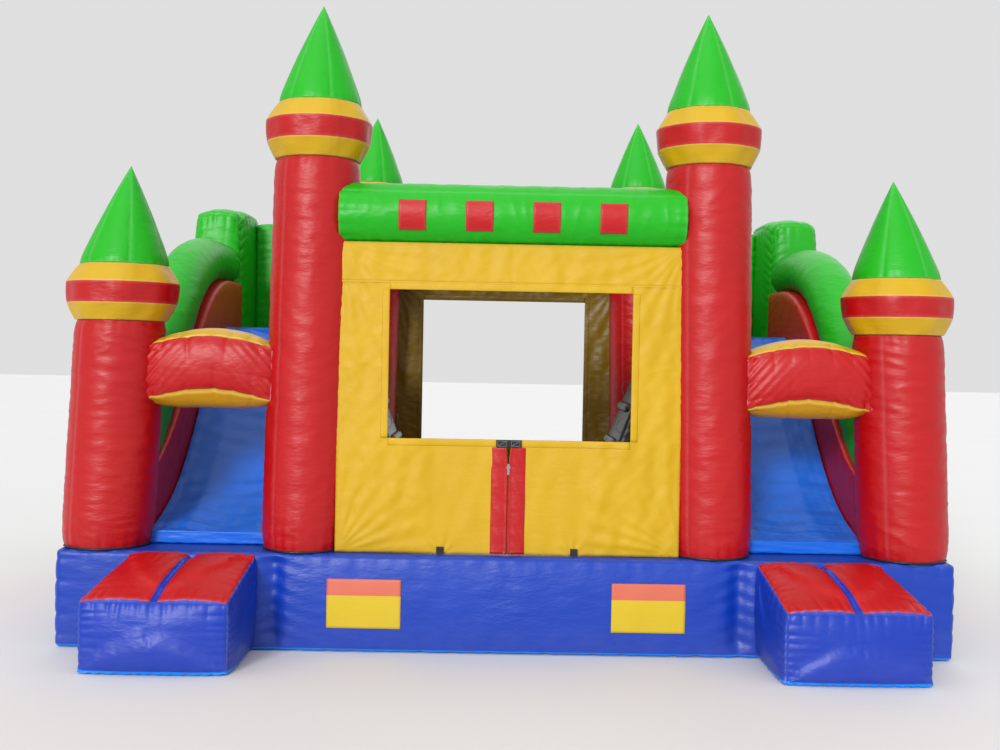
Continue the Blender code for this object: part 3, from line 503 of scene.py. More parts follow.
def plastic(name, colour):
    """Moulded zip plastic with slight scuffs."""
    finish = Finish(name, 0.35)
    scuffs = finish.noise(420.0, 3.0)
    finish.feed("Base Color", finish.mix(scuffs * 0.35, linear(colour), linear([c + 0.18 for c in colour])))
    finish.feed("Roughness", 0.28 + 0.22 * scuffs)
    finish.feed("Normal", finish.bump(scuffs, 0.0002, 0.3))
    return finish.material


def steel(name):
    """Zinc-plated wire: bright metal with fine streaks and duller spots."""
    finish = Finish(name, 0.3, metallic=1.0)
    streaks = finish.noise(300.0, 4.0, finish.scaled(finish.place(), (1.0, 0.3, 1.0)))
    finish.feed("Base Color", finish.mix(streaks, (0.45, 0.46, 0.48, 1.0), (0.75, 0.75, 0.76, 1.0)))
    finish.feed("Roughness", 0.2 + 0.25 * streaks)
    return finish.material


def make_finishes(colours):
    """All the finishes, once, from the colours in the panel."""
    if "red" in FINISHES:
        return FINISHES
    # Two of these are yellow darkened as painted shade: one for the bridges' undersides, one for the rear panel
    # and its binding.
    plain = ("red", "yellow", "amber", "inner", "green", "blue", "slide", "floor", "bright_red", "pad_blue")
    for name in plain:
        FINISHES[name] = vinyl(f"{name}_vinyl", getattr(colours, name))
    FINISHES["base_blue"] = vinyl("base_vinyl", colours.base, band=(0.026, colours.hem))
    FINISHES["pad_base"] = vinyl("pad_vinyl", colours.pad_blue, band=(0.028, colours.hem))
    FINISHES["wall"] = vinyl("wall_vinyl", colours.green, band=(2.645, colours.red))
    FINISHES["divider"] = vinyl("divider_vinyl", colours.pad_blue, roughness=0.3)
    FINISHES["panel"] = vinyl("panel_vinyl", colours.yellow, roughness=0.60, crease=0.55, wear=0.4)
    FINISHES["black"] = vinyl("black_vinyl", (0.13, 0.135, 0.15), roughness=0.42, wear=0.1)
    FINISHES["salmon"] = vinyl("salmon_patch", (0.93, 0.47, 0.36), roughness=0.5, crease=0.4)
    FINISHES["patch"] = vinyl("yellow_patch", (0.93, 0.80, 0.12), roughness=0.5, crease=0.4)
    FINISHES["pale_seam"] = vinyl("pale_seam", (0.90, 0.42, 0.46), roughness=0.45, crease=0.3)
    FINISHES["webbing"] = webbing("black_webbing", (0.06, 0.06, 0.075))
    FINISHES["zip"] = plastic("zip_plastic", (0.47, 0.48, 0.50))
    FINISHES["steel"] = steel("plated_steel")
    return FINISHES


FINISHES = {}


def finish_of(name):
    return make_finishes(bpy.context.scene.castle_colours)[name]


# ---------------------------------------------------------------- settings


def colour_setting(name, description, value):
    return bpy.props.FloatVectorProperty(
        name=name, description=description, default=value, subtype="COLOR_GAMMA", size=3, min=0.0, max=1.0
    )


def length_setting(name, description, value):
    return bpy.props.FloatProperty(name=name, description=description, default=value, unit="LENGTH")


class CastleColours(bpy.types.PropertyGroup):
    red: colour_setting("Red", "Towers, bridges and side walls", (0.80, 0.0, 0.035))
    bright_red: colour_setting("Bright red", "Panels on the landing pads and beam squares", (0.82, 0.0, 0.03))
    yellow: colour_setting("Yellow", "Front panel and collars", (0.90, 0.72, 0.0))
    # Painted shade: yellow darkened and turned orange for the bridges' undersides, where shade falls.
    amber: colour_setting("Amber", "Undersides and shaded yellow panels", (0.88, 0.66, 0.0))
    green: colour_setting("Green", "Cones, beams, rails and columns", (0.04, 0.76, 0.03))
    # Painted shade: the rear panel's yellow darkened for the shade inside the castle.
    inner: colour_setting("Inner yellow", "Rear panel, which stands in shade", (0.56, 0.44, 0.0))
    blue: colour_setting("Blue", "Sleeve and flap", (0.05, 0.20, 0.72))
    base: colour_setting("Base blue", "Base mattress", (0.02, 0.26, 0.76))
    pad_blue: colour_setting("Pad blue", "Landing pads", (0.0, 0.23, 0.76))
    slide: colour_setting("Slide blue", "Slide lanes", (0.0, 0.46, 0.98))
    floor: colour_setting("Floor blue", "Bounce floor", (0.05, 0.21, 0.66))
    hem: colour_setting("Hem blue", "Strip along the bottom edges", (0.02, 0.48, 0.88))


class CastleSizes(bpy.types.PropertyGroup):
    gather_depth: length_setting("Gather depth", "Depth of the puckers at a seam", 0.014)
    cloth_thickness: length_setting("Cloth thickness", "Thickness of the single sheets", 0.003)
    divider_width: length_setting("Divider width", "Width of the strip between a pad's panels", 0.05)
    square_width: length_setting("Square width", "Width of the squares on the front beam", 0.167)
    square_height: length_setting("Square height", "Height of the squares on the front beam", 0.19)
    square_spacing: length_setting("Square spacing", "Distance between the squares", 0.408)
    camera_x: length_setting("Camera X", "Camera position across", -0.125)
    camera_y: length_setting("Camera Y", "Camera position in depth", -8.817)
    camera_z: length_setting("Camera Z", "Camera height", 1.844)


# ---------------------------------------------------------------- pieces


class CastleStage(bpy.types.Operator):
    """Add the floor, the soft lights, the pale surroundings and the camera"""

    bl_idname = "castle.stage"
    bl_label = "Stage"

    def execute(self, context):
        scene = context.scene
        sizes = scene.castle_sizes
        edge = 60.0
        corners = np.array([(-edge, -edge, 0), (edge, -edge, 0), (edge, edge, 0), (-edge, edge, 0)])
        mesh = bpy.data.meshes.new("stage_floor")
        mesh.from_pydata(corners.tolist(), [], [(0, 1, 2, 3)])
        floor = bpy.data.objects.new("stage_floor", mesh)
        scene.collection.objects.link(floor)
        pale = Finish("stage_pale", 0.75)
        pale.feed("Base Color", pale.mix(pale.noise(0.6), (0.66, 0.66, 0.66, 1), (0.685, 0.685, 0.685, 1)))
        mesh.materials.append(pale.material)

        world = bpy.data.worlds.new("studio")
        world.use_nodes = True
        surroundings = world.node_tree.nodes["Background"].inputs
        surroundings["Color"].default_value = (1.0, 1.0, 1.0, 1)
        surroundings["Strength"].default_value = 0.74
        scene.world = world
        scene.view_settings.view_transform = "Standard"
        for name, place, angle, power in (
            ("key_sun", (-3.2, -9.0, 3.2), 14, 2.30),
            ("fill_sun", (6.0, -8.0, 3.0), 60, 0.25),
            ("top_sun", (-2.0, -1.5, 9.0), 60, 0.65),
            ("back_sun", (2.0, 9.0, 5.0), 60, 0.55),
        ):
            light = bpy.data.lights.new(name, "SUN")
            light.energy = power
            light.angle = math.radians(angle)
            lamp = bpy.data.objects.new(name, light)
            lamp.location = place
            lamp.rotation_euler = (-Vector(place)).to_track_quat("-Z", "Y").to_euler()
            scene.collection.objects.link(lamp)

        camera = bpy.data.cameras.new("camera")
        camera.sensor_width = 36.0
        camera.lens = 41.3
        holder = bpy.data.objects.new("camera", camera)
        turns = ((math.radians(-0.51), "Z"), (math.radians(88.89), "X"), (math.radians(1.09), "Z"))
        facing = [Matrix.Rotation(angle, 4, axis) for angle, axis in turns]
        place = Vector((sizes.camera_x, sizes.camera_y, sizes.camera_z))
        holder.matrix_world = Matrix.Translation(place) @ facing[0] @ facing[1] @ facing[2]
        scene.collection.objects.link(holder)
        scene.camera = holder
        return {"FINISHED"}


class CastleBase(bpy.types.Operator):
    """Make the base mattress with its swollen sides, channelled floor and hem strip"""

    bl_idname = "castle.base"
    bl_label = "Base mattress"

    def press_flat(self, points, node, high):
        """Takes away the bulge where a tab, flap or sleeve is sewn on, on both sides for a side's tab."""
        near, far = corners_of(node)
        middle, reach = (near + far) / 2, (far - near) / 2 + 0.06
        axis, other = (0, 1) if "anchor" in node else (1, 0)
        limit = high[axis] - 0.0005
        inside = ((points[:, other] - middle[other]) / reach[other]) ** 4
        inside = np.exp(-inside - ((points[:, 2] - middle[2]) / reach[2]) ** 4)
        value = np.abs(points[:, axis]) if axis == 0 else points[:, axis]
        over = np.maximum(value - limit, 0) * inside
        points[:, axis] -= np.sign(points[:, axis]) * over

    def execute(self, context):
        sizes = context.scene.castle_sizes
        low, high = corners_of("base_mattress")
        gather = (sizes.gather_depth, 0.12)
        swell = ((0.028, 0.028), (0.035, 0.030), (0.0, 0.0))
        points, faces, cube, sewn = chamber(
            high - low, (230, 130, 48), 0.03, swell, gather, 11, straight(low, high), 0.13
        )
        # Upright seams divide the front face beside each landing pad, and puckers fan out from them.
        front = cube[:, 1] < -0.999
        from_seam = np.abs(np.abs(points[:, 0]) - 1.42)
        rise = points[:, 2] / high[2]
        pinch = 0.036 * np.exp(-((from_seam / 0.05) ** 2)) + 0.010 * np.exp(-((from_seam / 0.16) ** 2))
        fan = 0.005 * np.sin(points[:, 2] * 70 + from_seam * 26) * np.exp(-from_seam / 0.10)
        ends = np.clip(rise * 6, 0, 1) * np.clip((1 - rise) * 9, 0, 1)
        points[:, 1] += np.where(front, (pinch + fan) * ends, 0)
        for node in ("right_front_anchor_tab", "right_rear_anchor_tab", "outlet_flap", "inlet_sleeve"):
            self.press_flat(points, node, high)
        on_top = cube[:, 2] > 0.999
        lane = 1 - np.abs(points[:, 0]) / 1.16
        inside = np.clip(lane * 12, 0, 1) * np.clip((1 - np.abs(cube[:, 1])) * 14 - 1.6, 0, 1)
        groove = 1 - np.abs(np.sin(points[:, 0] * math.pi / 0.35)) ** 0.5
        points[:, 2] -= np.where(on_top, (0.035 * groove + 0.004) * inside, 0)
        points[:, 2] = np.clip(points[:, 2], 0.0, high[2] - 0.002)

        def colour(middle):
            floor = (middle[:, 2] > 0.99) & (np.abs(middle[:, 0]) < 0.42) & (np.abs(middle[:, 1]) < 0.9)
            return np.where(floor, 1, 0)

        made = (points, faces, cube, sewn)
        finishes = [finish_of("base_blue"), finish_of("floor")]
        add_chamber("base_cover", made, finishes, ["base_mattress"], colour)
        return {"FINISHED"}


def axis_of(side, place):
    """(X, depth Y) of a right-hand tower's middle at any height, and its radius, from its shaft's box."""
    low, high = corners_of(f"right_{place}_tower_shaft")
    radius = (high[1] - low[1]) / 2
    foot = (high[0] - radius, low[2] + 0.15)
    head = (low[0] + radius, high[2] - 0.30)
    slope = (head[0] - foot[0]) / (head[1] - foot[1])
    middle_y = (low[1] + high[1]) / 2
    return (lambda z: side * (foot[0] + slope * (z - foot[1]))), middle_y, radius


def tower_surface(axis, heights, radii, turns):
    """Level rings round a leaning axis: radius(height, turn) on the grid."""
    across, middle_y, _ = axis
    x = across(heights)[:, None] + radii * np.cos(turns)
    y = middle_y + radii * np.sin(turns)
    return np.stack([x, y, np.broadcast_to(heights[:, None], x.shape)], axis=-1)


def ring_field(along, away):
    """The sewn field of a lofted tube: its end rows are repeated for the rings of the caps."""
    sewn = np.stack(np.broadcast_arrays(along, away, 0 * away), axis=-1)
    return np.concatenate([sewn[:1]] * 3 + [sewn] + [sewn[-1:]] * 3).reshape(-1, 3)


class CastleTowers(bpy.types.Operator):
    """Make the six towers: gathered shafts, banded collars and cones sewn from gores"""

    bl_idname = "castle.towers"
    bl_label = "Towers"

    def shaft(self, name, axis, low, high, seed, depth, bridge):
        """A leaning tube. The radius is nipped in at both ends, and puckers run from both end seams."""
        heights = low + (high - low) * (0.5 - 0.5 * np.cos(np.linspace(0, 1, 130) * math.pi)) ** 0.85
        turns = np.linspace(0, 2 * math.pi, 120, endpoint=False)[None, :]
        z = heights[:, None]
        radius = axis[2]
        site = np.stack(np.broadcast_arrays(np.cos(turns) * radius, np.sin(turns) * radius, 0 * z), axis=-1)
        foot, head = z - low, high - z
        radii = radius * (1 + 0 * turns) - 0.024 * np.exp(-foot / 0.055) - 0.02 * np.exp(-head / 0.04)
        radii = radii - depth * gathers(turns * 11, site, foot + 0 * turns, 0.16, seed)
        radii = radii - depth * 0.7 * gathers(turns * 9, site, head + 0 * turns, 0.10, seed + 20)
        surface = np.stack(np.broadcast_arrays(site[..., 0], site[..., 1], z), axis=-1)
        creases = noise(surface * (1, 1, 2.6), 0.30, seed + 40)
        radii = radii - 0.006 * np.abs(creases) ** 0.5 * np.clip(head / 0.2, 0, 1) * np.clip(foot / 0.1, 0, 1)
        if bridge:
            edges = np.abs(z - bridge[0]) / 0.10, np.abs(z - bridge[1]) / 0.10
            facing = np.clip(bridge[2] * np.cos(turns) - 0.1, 0, 1)
            pull = (np.exp(-(edges[0] ** 2)) + np.exp(-(edges[1] ** 2))) * facing
            radii = radii - 0.010 * pull * (0.6 + 0.6 * np.sin(z * 90 + 6 * np.cos(turns)))
        seam = np.minimum(np.abs(np.sin((turns - 0.9) / 2)), np.abs(np.sin((turns - 0.9 - math.pi) / 2)))
        radii = radii - 0.003 * np.exp(-((seam * 2 * radius / 0.006) ** 2))
        points, faces = loft(tower_surface(axis, heights, radii, turns))
        away = np.minimum(np.minimum(foot, head), np.abs(seam * 2 * radius))
        sewn = ring_field(turns * radius, away)
        piece = add_piece(f"{name}_shaft_cover", points, faces, [finish_of("red")],
                          replaces=[f"{name}_tower_shaft"], sewn=sewn)

    def collar(self, name, axis, low, high, seed):
        """Three bands: the radius grows over the lowest, stays, and shrinks over the top."""
        bands = low + (high - low) * np.array((0.0, 0.305, 0.675, 1.0))
        radius = axis[2]
        wide = (corners_of(f"{name}_tower_collar")[1][1] - corners_of(f"{name}_tower_collar")[0][1]) / 2
        heights = np.concatenate([np.linspace(bands[k], bands[k + 1], 13)[k > 0:] for k in range(3)])
        turns = np.linspace(0, 2 * math.pi, 144, endpoint=False)[None, :]
        profile = np.interp(heights, bands, (radius - 0.004, wide - 0.010, wide, radius - 0.012))[:, None]
        share = (heights[:, None] - low) / (high - low)
        bulge = sum(np.clip(1 - ((share - middle) / half) ** 2, 0, 1)
                    for middle, half in ((0.152, 0.152), (0.49, 0.185), (0.837, 0.163)))
        gore = np.abs(np.cos(turns * 4 + 0.4)) ** 3 * 0.012
        site = np.stack(np.broadcast_arrays(np.cos(turns), np.sin(turns), 0 * share), axis=-1)
        away = np.min([np.abs(heights - band) for band in bands], axis=0)[:, None] + 0 * turns
        tuck = gathers(turns * 16, site * radius, away, 0.05, seed)
        radii = profile + 0.004 * bulge - gore * (0.3 + 0.7 * bulge) - 0.0045 * tuck
        points, faces = loft(tower_surface(axis, heights, radii, turns))
        sewn = ring_field(turns * radius, away)
        middle = points[faces].mean(axis=1)[:, 2]
        index = ((middle > bands[1]) & (middle < bands[2])).astype(int)
        piece = add_piece(f"{name}_collar_cover", points, faces, [finish_of("yellow"), finish_of("red")],
                          replaces=[f"{name}_tower_collar"], index=index, sewn=sewn)

    def cone(self, name, axis, low, high, seed):
        """Six gores to a tip. The radius falls almost straight, and each gore swells between its seams."""
        share = np.linspace(0, 1, 90) ** 1.05
        heights = low + (high - low) * share
        radius = axis[2] - 0.004
        turns = np.linspace(0, 2 * math.pi, 144, endpoint=False)[None, :]
        straight_side = (1 - share) + 0.16 * share * (1 - share)
        profile = (radius * straight_side)[:, None] + 0.0015
        seam = np.abs(np.sin(turns * 3 + 0.35))
        gore = np.exp(-((seam / 0.16) ** 2)) * 0.006
        site = np.stack(np.broadcast_arrays(np.cos(turns), np.sin(turns), 0 * profile), axis=-1)
        foot = (heights - low)[:, None] + 0 * turns
        tuck = gathers(turns * 13, site * radius, foot, 0.09, seed)
        soft = noise(np.concatenate([site[..., :2] * radius, heights[:, None, None] + 0 * site[..., :1]], -1),
                     0.25, seed + 3)
        inward = gore + 0.006 * tuck + 0.0025 * soft + 0.012 * np.exp(-foot / 0.03)
        radii = profile - inward * (1 - share[:, None])
        points, faces = loft(tower_surface(axis, heights, radii, turns))
        away = np.minimum(foot, seam / 3 * profile)
        sewn = ring_field(turns * radius, away)
        piece = add_piece(f"{name}_cone_cover", points, faces, [finish_of("green")],
                          replaces=[f"{name}_tower_cone"], sewn=sewn)

    def execute(self, context):
        depth = context.scene.castle_sizes.gather_depth
        bridge_low, bridge_high = corners_of("right_bridge")
        for number, (side, sign) in enumerate(SIDES):
            for place, outward in (("inner", 1.0), ("outer", -1.0), ("rear", 0.0)):
                name = f"{side}_{place}"
                seed = 100 * number + 7 * len(place) + ord(place[0])
                axis = axis_of(sign, place)
                spans = [(corners_of(f"{name}_tower_{part}")[0][2], corners_of(f"{name}_tower_{part}")[1][2])
                         for part in ("shaft", "collar", "cone")]
                ends = (bridge_low[2] + 0.02, bridge_high[2] - 0.12, outward * sign) if outward else None
                self.shaft(name, axis, *spans[0], seed, depth, ends)
                self.collar(name, axis, *spans[1], seed + 1)
                self.cone(name, axis, *spans[2], seed + 2)
                turns = np.linspace(0, 2 * math.pi, 96, endpoint=False)
                radius = axis[2] - 0.020
                ring = np.stack([axis[0](FLOOR_Z) + radius * np.cos(turns), axis[1] + radius * np.sin(turns),
                                 np.full(96, FLOOR_Z + 0.004)], axis=1)
                edge = corners_of("base_mattress")[1][0] - 0.012
                ring[:, 0] = np.clip(ring[:, 0], -edge, edge)
                welt, quads = tube_along(ring, 0.007, 8, closed=True)
                add_piece(f"{name}_foot_welt", welt, quads, [finish_of("black")])
        return {"FINISHED"}


class CastleBeams(bpy.types.Operator):
    """Make the two green beams and the red squares on the front one"""

    bl_idname = "castle.beams"
    bl_label = "Beams"

    def execute(self, context):
        sizes = context.scene.castle_sizes
        for name, seed in (("front_beam", 301), ("rear_beam", 331)):
            low, high = corners_of(name)
            middle = (low + high) / 2
            radius = (high[2] - low[2]) / 2
            x = np.linspace(low[0], high[0], 210)[:, None]
            turns = np.linspace(0, 2 * math.pi, 110, endpoint=False)[None, :]
            end = high[0] - np.abs(x) + 0 * turns
            around = (np.cos(turns) * radius, np.sin(turns) * radius, np.sign(x))
            site = np.stack(np.broadcast_arrays(*around), -1)
            radii = radius - sizes.gather_depth * 1.2 * gathers(turns * 8, site, end, 0.15, seed)
            grid = np.stack(np.broadcast_arrays(x, np.cos(turns) * radius, np.sin(turns) * radius), axis=-1)
            radii = radii - 0.0045 * np.abs(noise(grid * (1.8, 1, 1), 0.30, seed + 5)) ** 0.6
            seam = np.min([np.abs(np.sin((turns - at) / 2)) for at in (0.9, 2.4, 4.71)], axis=0) * 2 * radius
            radii = radii - 0.004 * np.exp(-((seam / 0.007) ** 2))
            rounds = middle[1] + radii * np.cos(turns), middle[2] + radii * np.sin(turns)
            surface = np.stack([x + 0 * turns, *rounds], -1)
            points, faces = loft(surface)
            away = np.minimum(seam + 0 * x, end)
            sewn = ring_field(x, away)
            piece = add_piece(f"{name}_cover", points, faces, [finish_of("green")],
                              replaces=[name], sewn=sewn)
            if name == "front_beam":
                self.squares(sizes, middle, radius)
        return {"FINISHED"}

    def squares(self, sizes, middle, radius):
        """Four patches wrapped on the beam: x across, and the turn round it from the height along the arc."""
        for number, place in enumerate((-1.5, -0.5, 0.5, 1.5)):
            u, v = np.meshgrid(np.linspace(-1, 1, 26), np.linspace(-1, 1, 26), indexing="ij")
            x = place * sizes.square_spacing + u * sizes.square_width / 2
            turn = math.pi + 0.08 - v * sizes.square_height / 2 / radius
            edge = np.minimum(1 - np.abs(u), 1 - np.abs(v))
            out = radius + 0.001 + 0.0025 * np.clip(edge / 0.08, 0, 1) ** 0.5
            top = np.stack([x, middle[1] + out * np.cos(turn), middle[2] + out * np.sin(turn)], axis=-1)
            points = top.reshape(-1, 3)
            away = edge * sizes.square_width / 2
            sewn = np.stack([x + v * 0.1, away, 0 * away], axis=-1).reshape(-1, 3)
            faces = grid_faces(26, 26, False)[:, ::-1]
            add_sheet(f"beam_square_{number + 1}", points, faces, "bright_red", sewn=sewn,
                      flat=(sizes.square_width, sizes.square_height))


def add_sheet(name, points, faces, finish, flat, thickness=0.002, sewn=None, body="castle",
              replaces=(), index=None, finishes=None, area=None):
    """A single layer of cloth given its thickness by Solidify. Its cut size, flat, is not used."""
    materials = [finish_of(item) for item in finishes or [finish]]
    piece = link_mesh(name, points, faces, materials, index, sewn)
    layer = piece.modifiers.new("Cloth thickness", "SOLIDIFY")
    layer.thickness = thickness
    layer.offset = 0.0
    if body:
        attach(piece, body)
    for node in replaces:
        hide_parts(node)
    return piece


def window_of(name):
    """(half width, lowest, highest) of a window, from its stated opening."""
    low, high = OPENINGS[name]
    return high[0] + OPENING_MARGIN, low[2] - OPENING_MARGIN, high[2] + OPENING_MARGIN


def lattice(stops, step):
    """Evenly divided stretches between fixed stops, each division at most step long."""
    parts = [np.linspace(a, b, max(int(math.ceil((b - a) / step)), 1) + 1)[:-1]
             for a, b in zip(stops, stops[1:])]
    return np.concatenate([*parts, [stops[-1]]])


def drop_unused(points, faces, *fields):
    """Keeps only the points that faces use."""
    used, index = np.unique(faces, return_inverse=True)
    return (points[used], index.reshape(faces.shape), *(field[used] for field in fields))


class CastlePanels(bpy.types.Operator):
    """Make the front and rear fabric panels with their windows, bindings and seams"""

    bl_idname = "castle.panels"
    bl_label = "Fabric panels"

    def billow(self, x, z, low_x, high_x, low_z, high_z, window, seed):
        """Forward bulge of a stretched sheet: zero at its edges, with tension creases and seam puckers."""
        half, sill, head = window
        edge = np.minimum(np.minimum(x - low_x, high_x - x), np.minimum(z - low_z, high_z - z))
        dx, dz = np.maximum(np.abs(x) - half, 0), np.maximum(np.maximum(sill - z, z - head), 0)
        hole = np.hypot(dx, dz)
        inner = np.minimum(edge, hole)
        site = np.stack([x, z], axis=-1)
        bow = 0.020 * np.clip(edge / 0.35, 0, 1) ** 0.7
        folds = noise(site * (1.0, 0.45), 0.20, seed) * 0.0065 + noise(site, 0.11, seed + 1) * 0.0028
        radial = np.arctan2(z - np.where(z < (sill + head) / 2, low_z, high_z), x - np.sign(x) * high_x)
        folds = folds + 0.004 * np.sin(radial * 26 + 3 * noise(site, 0.7, seed + 2)) * np.exp(-edge / 0.35)
        puckers = gathers(math.pi * (x + z) / 0.055, site, inner, 0.07, seed + 3) * 0.0045
        return bow + folds * np.clip(inner / 0.05, 0, 1) - puckers, inner

    def execute(self, context):
        self.front(context.scene.castle_sizes)
        self.rear(context.scene.castle_sizes)
        return {"FINISHED"}

    def held_back(self, x, z, sill, foot_x):
        """Share of the bulge: the full bulge above the window's lower edge, a quarter at the doorway."""
        fade = np.clip((z - sill) / 0.05, 0, 1) + np.clip((np.abs(x) - foot_x - 0.05) / 0.12, 0, 1)
        return 0.25 + 0.75 * np.clip(fade, 0, 1)

    def front(self, sizes):
        """A top piece above the level seam, and under it two halves that each carry a door flap."""
        low, high = corners_of("front_panel")
        window = window_of("front_window")
        half, sill, head = window
        seam_z = head + 0.046
        fold = JOINTS["right_door_fold"]["pos_m"]
        foot = (2 * fold[0], low[2] + 0.004)
        peak_z = 2 * fold[2] - foot[1]
        mid = (low[1] + high[1]) / 2

        def forward(x, z):
            """World Y of the cloth: the billow, which gives way to the flaps' own folds near the zip."""
            bow, inner = self.billow(x, z, low[0], high[0], low[2], high[2], window, 41)
            away = np.abs(x)
            bow = bow * self.held_back(x, z, sill, foot[0])
            settle = np.clip((away - foot[0] + 0.02) / 0.12, 0, 1)
            settle = np.maximum(settle, np.clip((z - sill) / 0.05, 0, 1))
            site = np.stack([x, z], axis=-1)
            folds = noise(site * (1.0, 0.5), 0.17, 61) * 0.004 * np.clip(away / 0.1, 0, 1)
            tab = np.exp(-(((away - foot[0]) / 0.06) ** 2 + ((z - foot[1]) / 0.10) ** 2))
            folds = folds + 0.006 * tab * np.sin(np.arctan2(z - foot[1] + 0.01, away - foot[0]) * 9)
            return mid - bow * settle - 0.004 * (1 - settle) - folds * np.clip((sill - z) / 0.04, 0, 1), inner

        width = high[0] - low[0]
        xs, zs = lattice((low[0], high[0]), 0.014), lattice((seam_z, high[2]), 0.014)
        x, z = np.meshgrid(xs, zs, indexing="ij")
        y, inner = forward(x, z)
        sewn = np.stack([x + z, np.minimum(inner, z - seam_z), 0 * x], axis=-1).reshape(-1, 3)
        add_sheet("front_panel_cloth", np.stack([x, y, z], axis=-1).reshape(-1, 3),
                  grid_faces(len(xs), len(zs), False), "panel",
                  flat=(width, high[2] - seam_z),
                  thickness=sizes.cloth_thickness, sewn=sewn, replaces=["front_panel"])
        for side, sign in SIDES:
            us, zs = lattice((0.0, 0.1, half, high[0]), 0.012), lattice((low[2], sill, head, seam_z), 0.013)
            u, z = np.meshgrid(us, zs, indexing="ij")
            y, inner = forward(u * sign, z)
            # The gap at the zip opens from the slider up to the window's lower edge.
            gap = 0.0022 + 0.014 * np.clip((z - 1.155) / (sill - 1.155), 0, 1)
            gap = gap * np.clip(1 - u / 0.14, 0, 1) * (z < sill + 0.001)
            points = np.stack([(u + gap) * sign, y, z], axis=-1).reshape(-1, 3)
            faces = grid_faces(len(us), len(zs), False)[:, :: int(sign)]
            middle = points[faces].mean(axis=1)
            hole = (np.abs(middle[:, 0]) < half) & (middle[:, 2] > sill) & (middle[:, 2] < head)
            sewn = np.stack([u + z, np.minimum(inner, seam_z - z), 0 * u], axis=-1).reshape(-1, 3)
            points, faces, sewn = drop_unused(points, faces[~hole], sewn)
            cut = width / 2 * (seam_z - low[2]) - half * (head - sill)
            cloth = add_sheet(f"{side}_door_cloth", points, faces, "panel", area=cut,
                              flat=(width / 2, seam_z - low[2]),
                              thickness=sizes.cloth_thickness, sewn=sewn,
                              replaces=[f"{side}_door_flap"], body=None)
            on_fold = np.array((sign * foot[0] / 2, mid, (foot[1] + peak_z) / 2))
            outward = np.array((sign * (peak_z - foot[1]), 0, foot[0]))
            outward = outward / np.linalg.norm(outward) * 0.03
            ends = tuple(on_fold + outward), tuple(on_fold - outward)
            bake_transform(cloth)
            self.strip(side, sign, mid, foot[1], *ends)
        self.binding("front_window_binding", forward, window, "panel")
        self.seam_lines("front", forward, seam_z, low, high)

    def strip(self, side, sign, mid, foot_z, start, end):
        """A red strip beside the zip, with diagonal wrinkles and a raised edge, and its half of the tape."""
        width = corners_of("right_zip_strip")[1][0]
        across = np.linspace(0, 1, 22)[:, None]
        top = corners_of("zip_top_tab")[0][2] - 0.003
        z = lattice((foot_z + 0.001, 1.15, top), 0.012)[None, :]
        open_share = np.clip((z - 1.15) / (top - 1.15), 0, 1)
        inner = 0.003 + 0.011 * open_share
        x = inner + (width - inner) * across
        swell = np.sin(across * math.pi) ** 0.7 * 0.006
        site = np.stack(np.broadcast_arrays(x * sign, z), axis=-1)
        waves = np.sin((z * 2.2 + x * sign * 3.0) * 19 + 1.5 * noise(site, 0.3, 77)) * 0.0025
        roll = 0.004 * np.exp(-(((across - 0.06) / 0.07) ** 2))
        front = mid - 0.0085 - swell - waves * np.sin(across * math.pi) - roll
        front = front - 0.010 * open_share * (1 - across)
        back = mid - 0.0060 + 0 * front
        x, z = np.broadcast_arrays(x, z)
        rings = np.concatenate([np.stack([x, front, z], -1), np.stack([x, back, z], -1)[::-1]])
        points, faces = loft(np.swapaxes(rings, 0, 1) * (sign, 1, 1))
        name = f"{side}_zip_strip_cloth"
        piece = add_piece(name, points, faces, [finish_of("red")], body=None,
                          replaces=[f"{side}_zip_strip"])
        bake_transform(piece)
        z = np.linspace(foot_z + 0.004, top, 60)
        lean = 0.011 * np.clip((z - 1.15) / (top - 1.15), 0, 1)
        path = np.stack([sign * (0.0046 + lean), np.full(60, mid - 0.004), z], axis=1)
        points, faces = ribbon(path, (1, 0, 0), 0.0084, 0.0024)
        tape = add_piece(f"{side}_zip_tape", points, faces, [finish_of("webbing")], body=None)
        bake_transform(tape)

    def binding(self, name, forward, window, finish):
        """A folded hem round a window: a flat band with soft edges along the four sides."""
        half, sill, head = window
        path = [(-half, sill), (half, sill), (half, head), (-half, head)]
        width = 0.044
        for number, (a, b) in enumerate(zip(path, path[1:] + path[:1])):
            a, b = np.array(a), np.array(b)
            length = np.linalg.norm(b - a)
            t = np.linspace(0, 1, int(length / 0.02))[:, None]
            line = a + (b - a) * t
            out = np.array((0.0, -1.0)) if number == 0 else np.array((0.0, 1.0)) if number == 2 else None
            out = out if out is not None else np.array((1.0 if number == 1 else -1.0, 0.0))
            turns = np.linspace(0, 2 * math.pi, 12, endpoint=False)[None, :]
            wobble = 0.0012 * noise(line * 1.0, 0.12, 90 + number)[:, None]
            offset = width / 2 * (1 + np.cos(turns))
            thick = 0.0030 * np.sin(turns) + 0.4 * wobble - 0.0016
            x = line[:, :1] + out[0] * offset
            z = line[:, 1:] + out[1] * offset
            x, z = x + 0 * turns, z + 0 * turns
            surface = np.stack([x, forward(x, z)[0] + thick, z], axis=-1)
            points, faces = loft(surface)
            add_piece(f"{name}_{number + 1}", points, faces, [finish_of(finish)])

    def seam_lines(self, name, forward, z, low, high):
        """The flat felled seam that joins the top piece to the halves."""
        x = np.linspace(low[0] + 0.002, high[0] - 0.002, 160)[:, None]
        turns = np.linspace(0, 2 * math.pi, 8, endpoint=False)[None, :]
        y = forward(x, np.full_like(x, z))[0] - 0.0015 - 0.0016 * np.cos(turns)
        surface = np.stack([x + 0 * turns, y, z + 0.007 * np.sin(turns) + 0 * x], axis=-1)
        points, faces = loft(surface)
        add_piece(f"{name}_level_seam", points, faces, [finish_of("panel")])

